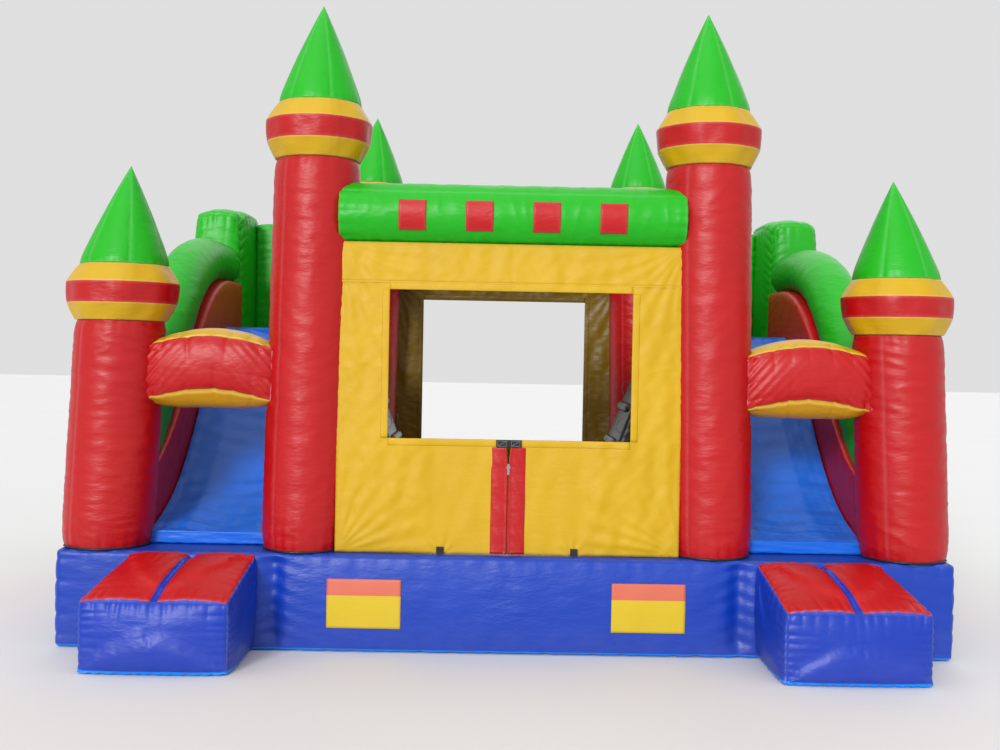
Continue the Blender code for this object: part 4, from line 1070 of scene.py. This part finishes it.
    def rear(self, sizes):
        low, high = corners_of("rear_panel")
        window = window_of("rear_window")
        half, sill, head = window
        step = 0.018
        xs = lattice((low[0], -half, half, high[0]), step)
        zs = lattice((low[2], sill, head, high[2]), step)
        x, z = np.meshgrid(xs, zs, indexing="ij")
        mid = (low[1] + high[1]) / 2

        def backward(x, z):
            bow, inner = self.billow(x, z, low[0], high[0], low[2], high[2], window, 52)
            return mid + bow, inner

        y, inner = backward(x, z)
        points = np.stack([x, y, z], axis=-1).reshape(-1, 3)
        sewn = np.stack([x + z, inner, 0 * x], axis=-1).reshape(-1, 3)
        faces = grid_faces(len(xs), len(zs), False)[:, ::-1]
        middle = points[faces].mean(axis=1)
        hole = (np.abs(middle[:, 0]) < half) & (middle[:, 2] > sill) & (middle[:, 2] < head)
        points, faces, sewn = drop_unused(points, faces[~hole], sewn)
        width, height = high[0] - low[0], high[2] - low[2]
        # The rear panel and its window binding are in yellow darkened as painted shade.
        add_sheet("rear_panel_cloth", points, faces, "inner", flat=(width, height),
                  area=width * height - 2 * half * (head - sill),
                  thickness=sizes.cloth_thickness, sewn=sewn, replaces=["rear_panel"])
        self.binding("rear_window_binding", backward, window, "inner")


class CastleBridges(bpy.types.Operator):
    """Make the arched bolsters over the slides' feet, with gathered seams and pale end seams"""

    bl_idname = "castle.bridges"
    bl_label = "Bridges"

    def execute(self, context):
        low, high = corners_of("right_bridge")
        depth = context.scene.castle_sizes.gather_depth
        for number, (side, sign) in enumerate(SIDES):
            seed = 401 + 50 * number

            def place(unit):
                """Ends level, middle arched: heights rise by a half sine, and the sides stay upright."""
                x = (low[0] + high[0]) / 2 + unit[:, 0] * (high[0] - low[0]) / 2
                arch = np.cos(np.clip(unit[:, 0], -1, 1) * math.pi / 2)
                bottom = low[2] + 0.075 * arch
                top = high[2] - 0.13 + 0.065 * arch
                z = bottom + (unit[:, 2] + 1) / 2 * (top - bottom)
                y = (low[1] + high[1]) / 2 + unit[:, 1] * (high[1] - low[1] - 0.05) / 2
                return np.stack([x, y, z], axis=1)

            size = high - low - (0, 0.05, 0.10)
            swell = ((0.0, 0.0), (0.05, 0.05), (0.125, 0.05))
            made = chamber(size, (120, 40, 56), 0.012, swell, (depth * 1.5, 0.12), seed, place, 0.125)
            points, _, cube, _ = made
            front = cube[:, 1] < -0.999
            end = (1 - np.abs(cube[:, 0])) * size[0] / 2
            fan = np.sin((cube[:, 2] * 0.19 + np.abs(cube[:, 0]) * 0.42) * 78) * np.exp(-end / 0.13)
            edge = np.clip((1 - np.abs(cube[:, 2])) * 6, 0, 1) * np.clip(end / 0.02, 0, 1)
            points[:, 1] -= np.where(front, 0.0045 * fan * edge, 0)

            def colour(middle):
                # Red front and sides, yellow top, and an underside in a darker yellow that is painted shade.
                return np.where(middle[:, 2] > 0.99, 1, np.where(middle[:, 2] < -0.99, 2, 0))

            finishes = [finish_of("red"), finish_of("yellow"), finish_of("amber")]
            add_chamber(f"{side}_bridge_cover", made, finishes, [f"{side}_bridge"], colour, sign)
            self.end_seams(side, sign, low, high)
        return {"FINISHED"}

    def end_seams(self, side, sign, low, high):
        """A pale folded seam standing up each end of the front face."""
        for place, x, lean in (("inner", low[0] + 0.012, -0.02), ("outer", high[0] - 0.012, -0.03)):
            z = np.linspace(low[2] + 0.01, high[2] - 0.15, 30)
            y = np.full(30, low[1] + 0.022)
            path = np.stack([(x + lean * (z - z[0])) * sign, y, z], axis=1)
            points, faces = tube_along(path, 0.0045, 8)
            name = f"{side}_bridge_{place}_seam"
            add_piece(name, points, faces, [finish_of("pale_seam")])


class CastlePads(bpy.types.Operator):
    """Make the landing pads: red panels pinched by a divider, a swollen gathered front and a hem strip"""

    bl_idname = "castle.pads"
    bl_label = "Landing pads"

    def execute(self, context):
        sizes = context.scene.castle_sizes
        low, high = corners_of("right_landing_pad")
        back_half, front_half = 0.40, 0.44
        back_x, front_x = low[0] + back_half, high[0] - front_half
        front_top, back_top = 0.42, high[2]
        for number, (side, sign) in enumerate(SIDES):

            def place(unit):
                """From the front (-1) to the base (1), the middle, half width and top change."""
                share = (1 - unit[:, 1]) / 2
                middle = back_x + (front_x - back_x) * share
                half = (back_half - 0.012) + (front_half - back_half) * share
                top = back_top + (front_top - back_top) * np.clip(share, 0, 1) ** 1.15
                waist = 1 - 0.04 * np.clip(-unit[:, 2], 0, 1) * np.clip(1 - share * 1.3, 0, 1)
                x = middle + unit[:, 0] * half * waist
                y = (low[1] + high[1]) / 2 + unit[:, 1] * (high[1] - low[1]) / 2 + 0.012
                lift = (0.05 * np.clip(np.abs(unit[:, 0]) - 0.75, 0, 1) * np.clip(1 - share, 0, 1))
                z = (unit[:, 2] + 1) / 2 * top + lift * np.clip(-unit[:, 2], 0, 1)
                return np.stack([x, y, z], axis=1)

            size = (2 * front_half, high[1] - low[1], back_top)
            swell = ((0.034, 0.034), (0.045, 0.0), (0.0, 0.012))
            gather = (sizes.gather_depth * 1.15, 0.12)
            points, faces, cube, sewn = chamber(
                size, (96, 66, 56), 0.022, swell, gather, 501 + 40 * number, place, 0.07
            )
            on_top = cube[:, 2] > 0.999
            width = front_half * np.abs(cube[:, 0])
            groove = np.exp(-((width / (sizes.divider_width * 0.55)) ** 2))
            crown = np.sin(np.clip(np.abs(cube[:, 0]), 0, 1) * math.pi) ** 0.8
            points[:, 2] += np.where(on_top, 0.016 * crown - 0.020 * groove, 0)
            points[:, 1] += np.where(cube[:, 1] < -0.999, 0.008 * groove * np.clip(cube[:, 2], 0, 1) ** 4, 0)
            points[:, 2] = np.maximum(points[:, 2], 0.0)
            points[:, 1] = np.maximum(points[:, 1], low[1] - 0.03)
            ratio = sizes.divider_width / 2 / front_half

            def colour(middle):
                top = (middle[:, 2] > 0.99) & (np.abs(middle[:, 1]) < 0.999)
                strip = np.abs(middle[:, 0]) < ratio
                return np.where(top & ~strip, 1, np.where(top & strip, 2, 0))

            finishes = [finish_of("pad_base"), finish_of("bright_red"), finish_of("divider")]
            made = (points, faces, cube, sewn)
            pad = add_chamber(f"{side}_pad_cover", made, finishes, [f"{side}_landing_pad"],
                              colour, sign)
            held = (points[:, 2] < 0.012) | (points[:, 1] > high[1] - 0.01)
            blow_up(pad, held, pressure=3.0, shrink=0.10, cap=0.016)
        return {"FINISHED"}


CHUTE_LINE = ((0.28, 0.69), (1.35, 0.84), (1.50, 1.72), (2.30, 2.02))
RAIL_LINE = ((0.38, 1.02), (1.35, 1.30), (1.50, 2.35), (2.60, 2.37))
TUBE_START, TUBE_LIFT = 0.50, 0.18


class CastleSlides(bpy.types.Operator):
    """Make the slide lanes and platforms, the rail walls and the fat rail tubes"""

    bl_idname = "castle.slides"
    bl_label = "Slides"

    def execute(self, context):
        for number, (side, sign) in enumerate(SIDES):
            self.lane(side, sign, 601 + 30 * number)
            self.platform(side, sign, 611 + 30 * number)
            self.rail_wall(side, sign, 621 + 30 * number)
            self.rail_tube(side, sign, 631 + 30 * number)
        return {"FINISHED"}

    def under(self, line, margin):
        """A place function: the block between the floor and a curve, from front to back along its depths."""
        curve = bezier(line, np.linspace(0, 1, 200))

        def place_of(low, high):
            def place(unit):
                depth = curve[0, 0] + (np.clip(unit[:, 1], -1, 1) + 1) / 2 * (high[1] - FRONT_Y - curve[0, 0])
                top = np.interp(depth, curve[:, 0], curve[:, 1]) - margin
                x = (low[0] + high[0]) / 2 + unit[:, 0] * (high[0] - low[0]) / 2
                z = low[2] + (unit[:, 2] + 1) / 2 * (top - low[2])
                return np.stack([x, at_depth(depth), z], axis=1)

            return place

        return place_of

    def lane(self, side, sign, seed):
        low, high = corners_of("right_slide_chute")
        place = self.under(CHUTE_LINE, 0.004)(low, high)
        swell = ((0.0, 0.0), (0.0, 0.0), (0.0, 0.0))
        points, faces, cube, sewn = chamber(
            high - low, (60, 130, 10), 0.012, swell, (0.007, 0.10), seed, place
        )
        on_top = cube[:, 2] > 0.999
        trough = -0.030 * (1 - cube[:, 0] ** 2) + 0.016 * (1 - np.abs(np.cos(cube[:, 0] * math.pi)))
        site = np.stack([points[:, 0], points[:, 1] + points[:, 2]], axis=1)
        wrinkle = 0.007 * noise(site * (0.5, 1.0), 0.24, seed + 6) + 0.003 * noise(site, 0.09, seed + 7)
        lift = np.where(on_top, (trough + wrinkle) * np.clip((1 - np.abs(cube[:, 0])) * 8, 0, 1), 0)
        points = points + normals(points, faces) * lift[:, None]
        made = (points, faces, cube, sewn)
        add_chamber(f"{side}_lane_cover", made, [finish_of("slide")],
                    [f"{side}_slide_chute"], None, sign)

    def platform(self, side, sign, seed):
        low, high = corners_of("right_slide_platform")
        made = chamber(high - low, (44, 52, 20), 0.03, ((0, 0), (0, 0), (0, 0.0)), (0.007, 0.09), seed,
                       straight(low, high))
        points, faces, cube, sewn = made
        pillow = 0.03 * (1 - cube[:, 0] ** 2).clip(0) ** 0.5 * (1 - cube[:, 1] ** 2).clip(0) ** 0.5
        points[:, 2] -= np.where(cube[:, 2] > 0.999, 0.03 - pillow, 0)
        made = (points, faces, cube, sewn)
        add_chamber(f"{side}_platform_cover", made, [finish_of("slide")],
                    [f"{side}_slide_platform"], None, sign)

    def rail_wall(self, side, sign, seed):
        low, high = corners_of("right_slide_rail_wall")
        place = self.under(RAIL_LINE, -0.03)(low + (0.004, 0, 0), high - (0.02, 0, 0))
        swell = ((0.0, 0.03), (0.02, 0.0), (0, 0))
        made = chamber(high - low, (24, 120, 40), 0.04, swell, (0.010, 0.12), seed, place)
        add_chamber(f"{side}_rail_wall_cover", made, [finish_of("red")],
                    [f"{side}_slide_rail_wall"], None, sign)

    def rail_tube(self, side, sign, seed):
        """A fat tube whose middle follows the rail line, lifted along its normal, less so at the foot."""
        low, high = corners_of("right_slide_rail_tube")
        radius = (high[0] - low[0]) / 2
        seam = bezier(RAIL_LINE, np.linspace(0, 1, 400))
        step = np.gradient(seam, axis=0)
        step /= np.linalg.norm(step, axis=1, keepdims=True)
        lift = TUBE_LIFT - 0.11 * np.exp(-(((seam[:, :1] - 0.45) / 0.75) ** 2))
        path = seam + np.stack([-step[:, 1], step[:, 0]], axis=1) * lift
        path = path[path[:, 0] > TUBE_START]
        path = np.vstack([path, (high[1] - FRONT_Y, path[-1, 1])])
        length = np.concatenate([[0], np.cumsum(np.linalg.norm(np.diff(path, axis=0), axis=1))])
        even = np.linspace(0, length[-1], 190)
        path = np.stack([np.interp(even, length, path[:, k]) for k in (0, 1)], axis=1)
        ahead = np.gradient(path, axis=0)
        ahead /= np.linalg.norm(ahead, axis=1, keepdims=True)
        out = np.stack([-ahead[:, 1], ahead[:, 0]], axis=1)
        bend = np.gradient(np.unwrap(np.arctan2(ahead[:, 1], ahead[:, 0])), even)
        turns = np.linspace(0, 2 * math.pi, 96, endpoint=False)[None, :]
        inner = np.clip(-np.sin(turns) * np.sign(-bend[:, None]), 0, 1)
        tight = np.clip(np.abs(bend) / 1.4, 0, 1)[:, None]
        along = even[:, None]
        crease = np.abs(np.sin(along * math.pi / 0.15 + 0.6 * np.sin(turns * 2))) ** 0.35
        radii = radius - 0.022 * (1 - crease) * inner**1.5 * tight
        site = np.stack(np.broadcast_arrays(np.cos(turns) * radius, np.sin(turns) * radius, along), axis=-1)
        radii = radii - 0.004 * np.abs(noise(site, 0.26, seed)) ** 0.6
        end = np.minimum(along, even[-1] - along) + 0 * turns
        radii = radii - 0.012 * gathers(turns * 8, site, end, 0.12, seed + 2)
        radii = radii * np.sqrt(1 - np.clip(1 - along / 0.13, 0, 0.999) ** 2)
        middle_x = (low[0] + high[0]) / 2
        surface = np.stack([
            middle_x + radii * np.cos(turns),
            at_depth(path[:, :1]) + radii * np.sin(turns) * out[:, :1],
            path[:, 1:] + radii * np.sin(turns) * out[:, 1:],
        ], axis=-1)
        points, faces = loft(surface)
        away = np.minimum(end, np.abs(np.sin((turns + math.pi / 2) / 2)) * 2 * radius)
        sewn = ring_field(along, away)
        piece = add_piece(f"{side}_rail_tube_cover", points, faces, [finish_of("green")],
                          replaces=[f"{side}_slide_rail_tube"], sewn=sewn, side=sign)


class CastleCorners(bpy.types.Operator):
    """Make the pillow-cornered rear columns and the walls behind the platforms"""

    bl_idname = "castle.corners"
    bl_label = "Rear columns and walls"

    def pinched(self, low, high, cut):
        """A box whose top corners are cut: the height drops by cut times (u v)^4, scaled with the height."""
        low, high = np.array(low), np.array(high)

        def place(unit):
            points = (low + high) / 2 + unit * (high - low) / 2
            share = ((unit[:, 2] + 1) / 2) ** 3
            drop = cut * share * (unit[:, 0] * unit[:, 1]) ** 4
            points[:, 2] -= drop
            points[:, :2] -= (0.35 * drop)[:, None] * np.sign(unit[:, :2])
            return points

        return place

    def folded(self, made, fold, waists):
        """Presses an X of two soft folds into the top, and a level waist into the back at each height."""
        points, faces, cube, sewn = made
        top = np.where(cube[:, 2] > 0.9999, 1.0, 0.0)
        cross = np.exp(-(((np.abs(cube[:, 0]) - np.abs(cube[:, 1])) / 0.16) ** 2))
        points[:, 2] -= fold * top * cross * (cube[:, 0] ** 2).clip(0, 1) * (1 - cube[:, 0] ** 8)
        for z in waists:
            dip = np.exp(-(((points[:, 2] - z) / 0.035) ** 2)) * 0.026
            back = (cube[:, 1] > 0.9999) * (1 - cube[:, 0] ** 8)
            points[:, 1] -= dip * back
            near = (back > 0) & (np.abs(points[:, 2] - z) < sewn[:, 1])
            sewn[near, 0], sewn[near, 1] = points[near, 0], np.abs(points[near, 2] - z)
        return points, faces, cube, sewn

    def execute(self, context):
        depth = context.scene.castle_sizes.gather_depth
        for number, (side, sign) in enumerate(SIDES):
            low, high = corners_of("right_rear_column")
            swell = ((0.012, 0.045), (0.045, 0.055), (0.0, 0.07))
            place = self.pinched(low, high - (0.0, 0, 0.075), 0.13)
            made = chamber(high - low, (44, 60, 120), 0.03, swell, (depth * 1.5, 0.18), 701 + 10 * number,
                           place)
            made = self.folded(made, 0.030, (1.25, 1.95))
            add_chamber(f"{side}_column_cover", made, [finish_of("green")],
                        [f"{side}_rear_column"], None, sign)
            low, high = corners_of("right_rear_wall")
            swell = ((0.0, 0.0), (0.02, 0.045), (0.0, 0.03))
            made = chamber(high - low, (56, 28, 120), 0.03, swell, (depth, 0.14), 731 + 10 * number,
                           straight(low, high - (0.0, 0, 0.05)))
            made = self.folded(made, 0.0, (1.25, 1.95))
            add_chamber(f"{side}_rear_wall_cover", made, [finish_of("green")],
                        [f"{side}_rear_wall"], None, sign)
        return {"FINISHED"}


class CastleInside(bpy.types.Operator):
    """Make the arched side walls, their top rolls, and the climbing ramps with steps and handles"""

    bl_idname = "castle.inside"
    bl_label = "Side walls and climbs"

    def execute(self, context):
        for number, (side, sign) in enumerate(SIDES):
            self.wall(side, sign, 801 + 20 * number)
            self.ramp(side, sign, 811 + 20 * number)
        return {"FINISHED"}

    def wall(self, side, sign, seed):
        """An inflated arch: sections run from the arch's edge to the wall's, from floor to floor.

        Each section is a flat loop whose two sides swell and meet in round rims.
        """
        low, high = corners_of("right_side_wall")
        arch = OPENINGS["right_climb_arch"]
        near, far = arch[0][1] - 0.11, arch[1][1] + 0.11
        radius = (far - near) / 2
        crown = 2.60
        count = 60
        turns = np.linspace(math.pi, 0, 2 * count)
        middle = (near + far) / 2
        inner = np.concatenate([
            np.stack([np.full(count, near), np.linspace(low[2], crown - radius, count)], 1),
            np.stack([middle + radius * np.cos(turns), crown - radius + radius * np.sin(turns)], 1),
            np.stack([np.full(count, far), np.linspace(crown - radius, low[2], count)], 1),
        ])
        outer = np.concatenate([
            np.stack([np.full(count, low[1]), np.linspace(low[2], high[2] - 0.3, count)], 1),
            self.corner_path(low[1], high[1], high[2] - 0.3, high[2], 2 * count),
            np.stack([np.full(count, high[1]), np.linspace(high[2] - 0.3, low[2], count)], 1),
        ])
        share = (1 - np.cos(np.linspace(0, math.pi, 40))) / 2
        profile = np.sin(np.linspace(0, math.pi, 40)) ** 0.42
        line = inner[:, None] + (outer - inner)[:, None] * share[None, :, None]
        flat_x = (low[0] + high[0]) / 2
        half = (high[0] - low[0]) / 2
        quilt = 0.016 * np.abs(np.sin(line[..., 0] * math.pi / 0.36)) ** 0.5
        soft = 0.006 * noise(line, 0.25, seed)
        thick = (half - 0.018 + quilt + soft) * profile[None, :]
        sides = [np.stack([flat_x + s * thick, line[..., 0], line[..., 1]], axis=-1) for s in (1, -1)]
        loop = np.concatenate([sides[0], sides[1][:, ::-1][:, 1:-1]], axis=1)
        points, faces = loft(loop)
        piece = add_piece(f"{side}_side_wall_cover", points, faces, [finish_of("wall")],
                          replaces=[f"{side}_side_wall"], side=sign)

    def corner_path(self, near, far, low, high, count):
        """Up, over and down along a rectangle's upper part, in even steps."""
        stops = np.array([(near, low), (near, high), (far, high), (far, low)])
        length = np.concatenate([[0], np.cumsum(np.linalg.norm(np.diff(stops, axis=0), axis=1))])
        even = np.linspace(0, length[-1], count)
        return np.stack([np.interp(even, length, stops[:, k]) for k in (0, 1)], axis=1)

    def ramp(self, side, sign, seed):
        low, high = corners_of("right_climb_ramp")
        top_x = high[0] - 0.14

        def place(unit):
            share = (np.clip(unit[:, 2], -1, 1) + 1) / 2
            inner = low[0] + (top_x - low[0]) * share
            x = inner + (unit[:, 0] + 1) / 2 * (high[0] - inner)
            y = (low[1] + high[1]) / 2 + unit[:, 1] * (high[1] - low[1]) / 2
            return np.stack([x, y, low[2] + share * (high[2] - low[2])], axis=1)

        size = (0.5, high[1] - low[1], high[2] - low[2])
        made = chamber(size, (20, 44, 90), 0.03, ((0.02, 0.0), (0, 0), (0, 0)), (0.008, 0.10), seed, place)
        add_chamber(f"{side}_ramp_cover", made, [finish_of("black")],
                    [f"{side}_climb_ramp"], None, sign)
        for number in range(4):
            share = 0.16 + 0.22 * number
            centre_z = low[2] + share * (high[2] - low[2])
            centre_x = low[0] + (top_x - low[0]) * share - 0.008
            y = np.linspace(low[1] + 0.10, high[1] - 0.10, 60)
            path = np.stack([np.full(60, centre_x), y, np.full(60, centre_z)], axis=1)
            points, faces = tube_along(path, 1.0, 28)
            middle = np.repeat(np.concatenate([path[:1]] * 3 + [path] + [path[-1:]] * 3), 28, axis=0)
            end = np.minimum(middle[:, 1] - y[0], y[-1] - middle[:, 1])
            girth = 0.045 - 0.025 * np.exp(-end / 0.03) - 0.003 * np.abs(np.sin(middle[:, 1] * 60)) ** 0.5
            points = middle + (points - middle) * girth[:, None]
            piece = add_piece(f"{side}_climb_step_{number + 1}", points, faces, [finish_of("black")],
                              side=sign)
        for number in range(3):
            share = 0.27 + 0.22 * number
            z = low[2] + share * (high[2] - low[2])
            x = low[0] + (top_x - low[0]) * share - 0.03
            for end, y in (("near", low[1] + 0.10), ("far", high[1] - 0.10)):
                turn = np.linspace(0, math.pi, 20)
                path = np.stack([x + 0.02 - 0.05 * np.sin(turn), np.full(20, y),
                                 z - 0.06 * np.cos(turn)], axis=1)
                points, faces = ribbon(path, (0, 1, 0), 0.025, 0.003)
                name = f"{side}_climb_handle_{end}_{number + 1}"
                add_piece(name, points, faces, [finish_of("webbing")], side=sign)


def ribbon(path, across, width, thickness):
    """A flat strap along a path: a thin rounded rectangle carried along it, its width along one direction."""
    path = np.asarray(path, float)
    across = np.asarray(across, float)
    ahead = np.gradient(path, axis=0)
    ahead /= np.linalg.norm(ahead, axis=1, keepdims=True)
    out = np.cross(ahead, across)
    out /= np.linalg.norm(out, axis=1, keepdims=True)
    turns = np.linspace(0, 2 * math.pi, 16, endpoint=False)
    u = np.sign(np.cos(turns)) * np.abs(np.cos(turns)) ** 0.35 * width / 2
    v = np.sign(np.sin(turns)) * np.abs(np.sin(turns)) ** 0.6 * thickness / 2
    rings = path[:, None] + u[None, :, None] * across + v[None, :, None] * out[:, None]
    return loft(rings)


class CastleDetails(bpy.types.Operator):
    """Make the webbing tabs, blank patches, sleeve, strap, outlet flap, anchor tabs, zip and rings"""

    bl_idname = "castle.details"
    bl_label = "Small parts"

    def execute(self, context):
        self.zip_tab()
        self.edge_tabs()
        self.patches()
        self.sleeve()
        self.flap()
        self.anchors()
        for node in ("zip_slider", "zip_pull"):
            self.dress(node, "zip")
        for side, _ in SIDES:
            for place in ("front", "rear"):
                self.dress(f"{side}_{place}_anchor_ring", "steel")
        return {"FINISHED"}

    def dress(self, node, finish):
        for place in frame["nodes"][node].material_slots:
            place.material = finish_of(finish)

    def zip_tab(self):
        """A doubled webbing tab with two raised stitched boxes."""
        low, high = corners_of("zip_top_tab")
        middle = (low + high) / 2
        path = np.stack([np.linspace(low[0], high[0], 40), np.full(40, middle[1] - 0.006),
                         np.full(40, middle[2])], axis=1)
        points, faces = ribbon(path, (0, 0, 1), high[2] - low[2], 0.006)
        add_piece("zip_top_tab_webbing", points, faces, [finish_of("webbing")],
                  replaces=["zip_top_tab"])
        for side, sign in SIDES:
            box = np.array([(-1, -1), (1, -1), (1, 1), (-1, 1)]) * (0.026, 0.016)
            for name, stops in (("box", box), ("cross", box[[0, 2]])):
                loop = np.concatenate([np.linspace(a, b, 14)[:-1] for a, b in
                                       zip(stops, np.roll(stops, -1, axis=0))])
                place = np.stack([loop[:, 0] + sign * 0.042, np.full(len(loop), middle[1] - 0.0096),
                                  loop[:, 1] + middle[2]], axis=1)
                if name == "cross":
                    place = place[:14]
                points, faces = tube_along(place, 0.0011, 6, closed=name == "box")
                add_piece(f"zip_tab_{side}_{name}_stitch", points, faces, [finish_of("zip")])

    def edge_tabs(self):
        """Two short webbing tabs that tie the loose lower edge of the front panel to the base."""
        fold = JOINTS["right_door_fold"]["pos_m"]
        front = corners_of("front_panel")[0][1]
        for side, sign in SIDES:
            z = np.linspace(FLOOR_Z - 0.028, FLOOR_Z + 0.045, 16)
            lean = 0.010 * np.clip((z - FLOOR_Z) / 0.05, -0.4, 1)
            y = front - 0.014 + lean - 0.045 * np.clip((FLOOR_Z + 0.004 - z) / 0.03, 0, 1) * 0.6
            path = np.stack([np.full(16, sign * (2 * fold[0] + 0.012)), y, z], axis=1)
            points, faces = ribbon(path, (1, 0, 0), 0.045, 0.004)
            add_piece(f"{side}_edge_tab", points, faces, [finish_of("webbing")])

    def patches(self):
        """Two blank two-coloured patches on the base's front, following its swollen face."""
        base = bpy.data.objects["base_cover"]
        count = len(base.data.vertices)
        co = np.empty(count * 3, np.float32)
        base.data.vertices.foreach_get("co", co)
        co = co.reshape(-1, 3)
        face = co[(co[:, 1] < FRONT_Y + 0.05) & (np.abs(co[:, 0]) < 1.5)]
        for side, sign in SIDES:
            u, v = np.meshgrid(np.linspace(-1, 1, 30), np.linspace(-1, 1, 22), indexing="ij")
            x, z = sign * 0.865 + u * 0.225, 0.305 + v * 0.15
            flat = np.stack([x, z], axis=-1).reshape(-1, 1, 2)
            distance = np.linalg.norm(face[None, :, [0, 2]] - flat, axis=2)
            nearest = np.argsort(distance, axis=1)[:, :6]
            weight = 1 / (np.take_along_axis(distance, nearest, 1) + 1e-3)
            y = (face[nearest][:, :, 1] * weight).sum(1) / weight.sum(1) - 0.004
            points = np.stack([x.ravel(), y, z.ravel()], axis=1)
            faces = grid_faces(30, 22, False)
            middle = points[faces].mean(axis=1)[:, 2]
            add_sheet(f"{side}_blank_patch", points, faces, "patch", flat=(0.45, 0.30),
                      thickness=0.0015, finishes=["patch", "salmon"],
                      index=(middle > 0.36).astype(int))

    def sleeve(self):
        """The inlet sleeve: a gathered tube open at its end, with a turned-in hem and a strap round it."""
        low, high = corners_of("inlet_sleeve")
        middle = (low + high) / 2
        radius = (high[0] - low[0]) / 2
        turns = np.linspace(0, 2 * math.pi, 120, endpoint=False)[None, :]
        y = np.linspace(low[1], high[1], 80)[:, None]
        share = (y - low[1]) / (high[1] - low[1])
        site = np.stack(np.broadcast_arrays(np.cos(turns) * radius, np.sin(turns) * radius, y), axis=-1)
        tied = np.exp(-(((share - 0.62) / 0.22) ** 2))
        folds = 0.010 * np.sin(turns * 9 + 1.4 * noise(site, 0.4, 5)) * tied
        soft = 0.006 * noise(site, 0.16, 7)
        neck = 0.014 * np.exp(-(((share - 0.62) / 0.10) ** 2))
        outer = radius - 0.004 + folds * 0.6 + soft * 0.6 - neck
        inner = outer - 0.004
        rows = [np.stack([middle[0] + r * np.cos(turns), y + 0 * turns, middle[2] + r * np.sin(turns)], -1)
                for r in (outer, inner)]
        surface = np.concatenate([rows[0], rows[1][::-1], rows[0][:1]])
        points, faces = loft(surface, caps=(False, False))
        piece = add_piece("inlet_sleeve_cloth", points, faces, [finish_of("blue")],
                          replaces=["inlet_sleeve"])
        at = low[1] + 0.62 * (high[1] - low[1])
        round_path = np.stack([middle[0] + (radius - 0.010) * np.cos(turns[0]), np.full(120, at),
                               middle[2] + (radius - 0.010) * np.sin(turns[0])], axis=1)
        points, faces = tube_along(round_path, 0.004, 8, closed=True)
        centre = np.array((middle[0], at, middle[2]))
        points = centre + (points - centre) * (1, 3.2, 1)
        add_piece("sleeve_strap", points, faces, [finish_of("webbing")])
        tail = np.linspace(0, 1, 30)
        path = np.stack([middle[0] + 0.06 * tail - 0.01, at + 0.02 * tail,
                         middle[2] - radius + 0.004 - 0.055 * tail**0.6], axis=1)
        points, faces = ribbon(path, (0, 1, 0), 0.02, 0.0025)
        add_piece("sleeve_strap_tail", points, faces, [finish_of("webbing")])

    def flap(self):
        """The outlet flap: a sheet that ripples a little more towards its lower edge."""
        low, high = corners_of("outlet_flap")
        u, v = np.meshgrid(np.linspace(-1, 1, 50), np.linspace(-1, 1, 26), indexing="ij")
        x = (low[0] + high[0]) / 2 + u * (high[0] - low[0]) / 2
        z = (low[2] + high[2]) / 2 + v * (high[2] - low[2]) / 2
        site = np.stack([x, z], axis=-1)
        y = (low[1] + high[1]) / 2 + 0.002 * noise(site, 0.14, 3) * (1 - v) / 2
        points = np.stack([x, y, z], axis=-1).reshape(-1, 3)
        edge = np.minimum(1 - np.abs(u), 1 - np.abs(v)) * (high[2] - low[2]) / 2
        sewn = np.stack([x + z, edge, 0 * x], axis=-1).reshape(-1, 3)
        faces = grid_faces(50, 26, False)[:, ::-1]
        add_sheet("outlet_flap_cloth", points, faces, "blue",
                  flat=(high[0] - low[0], high[2] - low[2]), thickness=0.003, sewn=sewn, body="outlet_flap",
                  replaces=["outlet_flap"])

    def anchors(self):
        """Each anchor tab: webbing up the base's side and round the ring's bar."""
        for side, sign in SIDES:
            for place in ("front", "rear"):
                node = f"{side}_{place}_anchor_tab"
                low, high = corners_of(f"right_{place}_anchor_tab")
                middle_y = (low[1] + high[1]) / 2
                roll = (high[0] - low[0]) / 2
                turns = np.linspace(math.radians(100), math.radians(440), 34)
                centre = np.array((high[0] - roll, low[2] + roll))
                hook = centre + 0.0085 * np.stack([np.cos(turns), np.sin(turns)], axis=1)[::-1]
                rise = np.linspace(hook[-1, 1] + 0.004, high[2], 26)[1:]
                back = np.full(25, low[0] + 0.004)
                line = np.concatenate([hook, np.stack([back, rise], axis=1)])
                path = np.stack([line[:, 0], np.full(len(line), middle_y), line[:, 1]], axis=1)
                points, faces = ribbon(path, (0, 1, 0), high[1] - low[1], 0.003)
                add_piece(f"{node}_webbing", points, faces, [finish_of("webbing")],
                          replaces=[node], side=sign)


class CastlePanel(bpy.types.Panel):
    """Lists the pieces and their settings"""

    bl_idname = "VIEW3D_PT_castle"
    bl_label = "Inflatable castle"
    bl_space_type = "VIEW_3D"
    bl_region_type = "UI"
    bl_category = "Castle"

    def draw(self, context):
        for group in (context.scene.castle_colours, context.scene.castle_sizes):
            for name in group.bl_rna.properties.keys():
                if name not in ("rna_type", "name"):
                    self.layout.prop(group, name)
        for piece in PIECES:
            self.layout.operator(piece.bl_idname)


PIECES = (
    CastleStage, CastleBase, CastleTowers, CastleBeams, CastlePanels, CastleBridges, CastlePads, CastleSlides,
    CastleCorners, CastleInside, CastleDetails,
)


def register():
    for kind in (CastleColours, CastleSizes, *PIECES, CastlePanel):
        bpy.utils.register_class(kind)
    bpy.types.Scene.castle_colours = bpy.props.PointerProperty(type=CastleColours)
    bpy.types.Scene.castle_sizes = bpy.props.PointerProperty(type=CastleSizes)


def unregister():
    del bpy.types.Scene.castle_sizes
    del bpy.types.Scene.castle_colours
    for kind in reversed((CastleColours, CastleSizes, *PIECES, CastlePanel)):
        bpy.utils.unregister_class(kind)


def main():
    register()
    for piece in PIECES:
        group, name = piece.bl_idname.split(".")
        getattr(getattr(bpy.ops, group), name)()


if __name__ == "__main__":
    main()
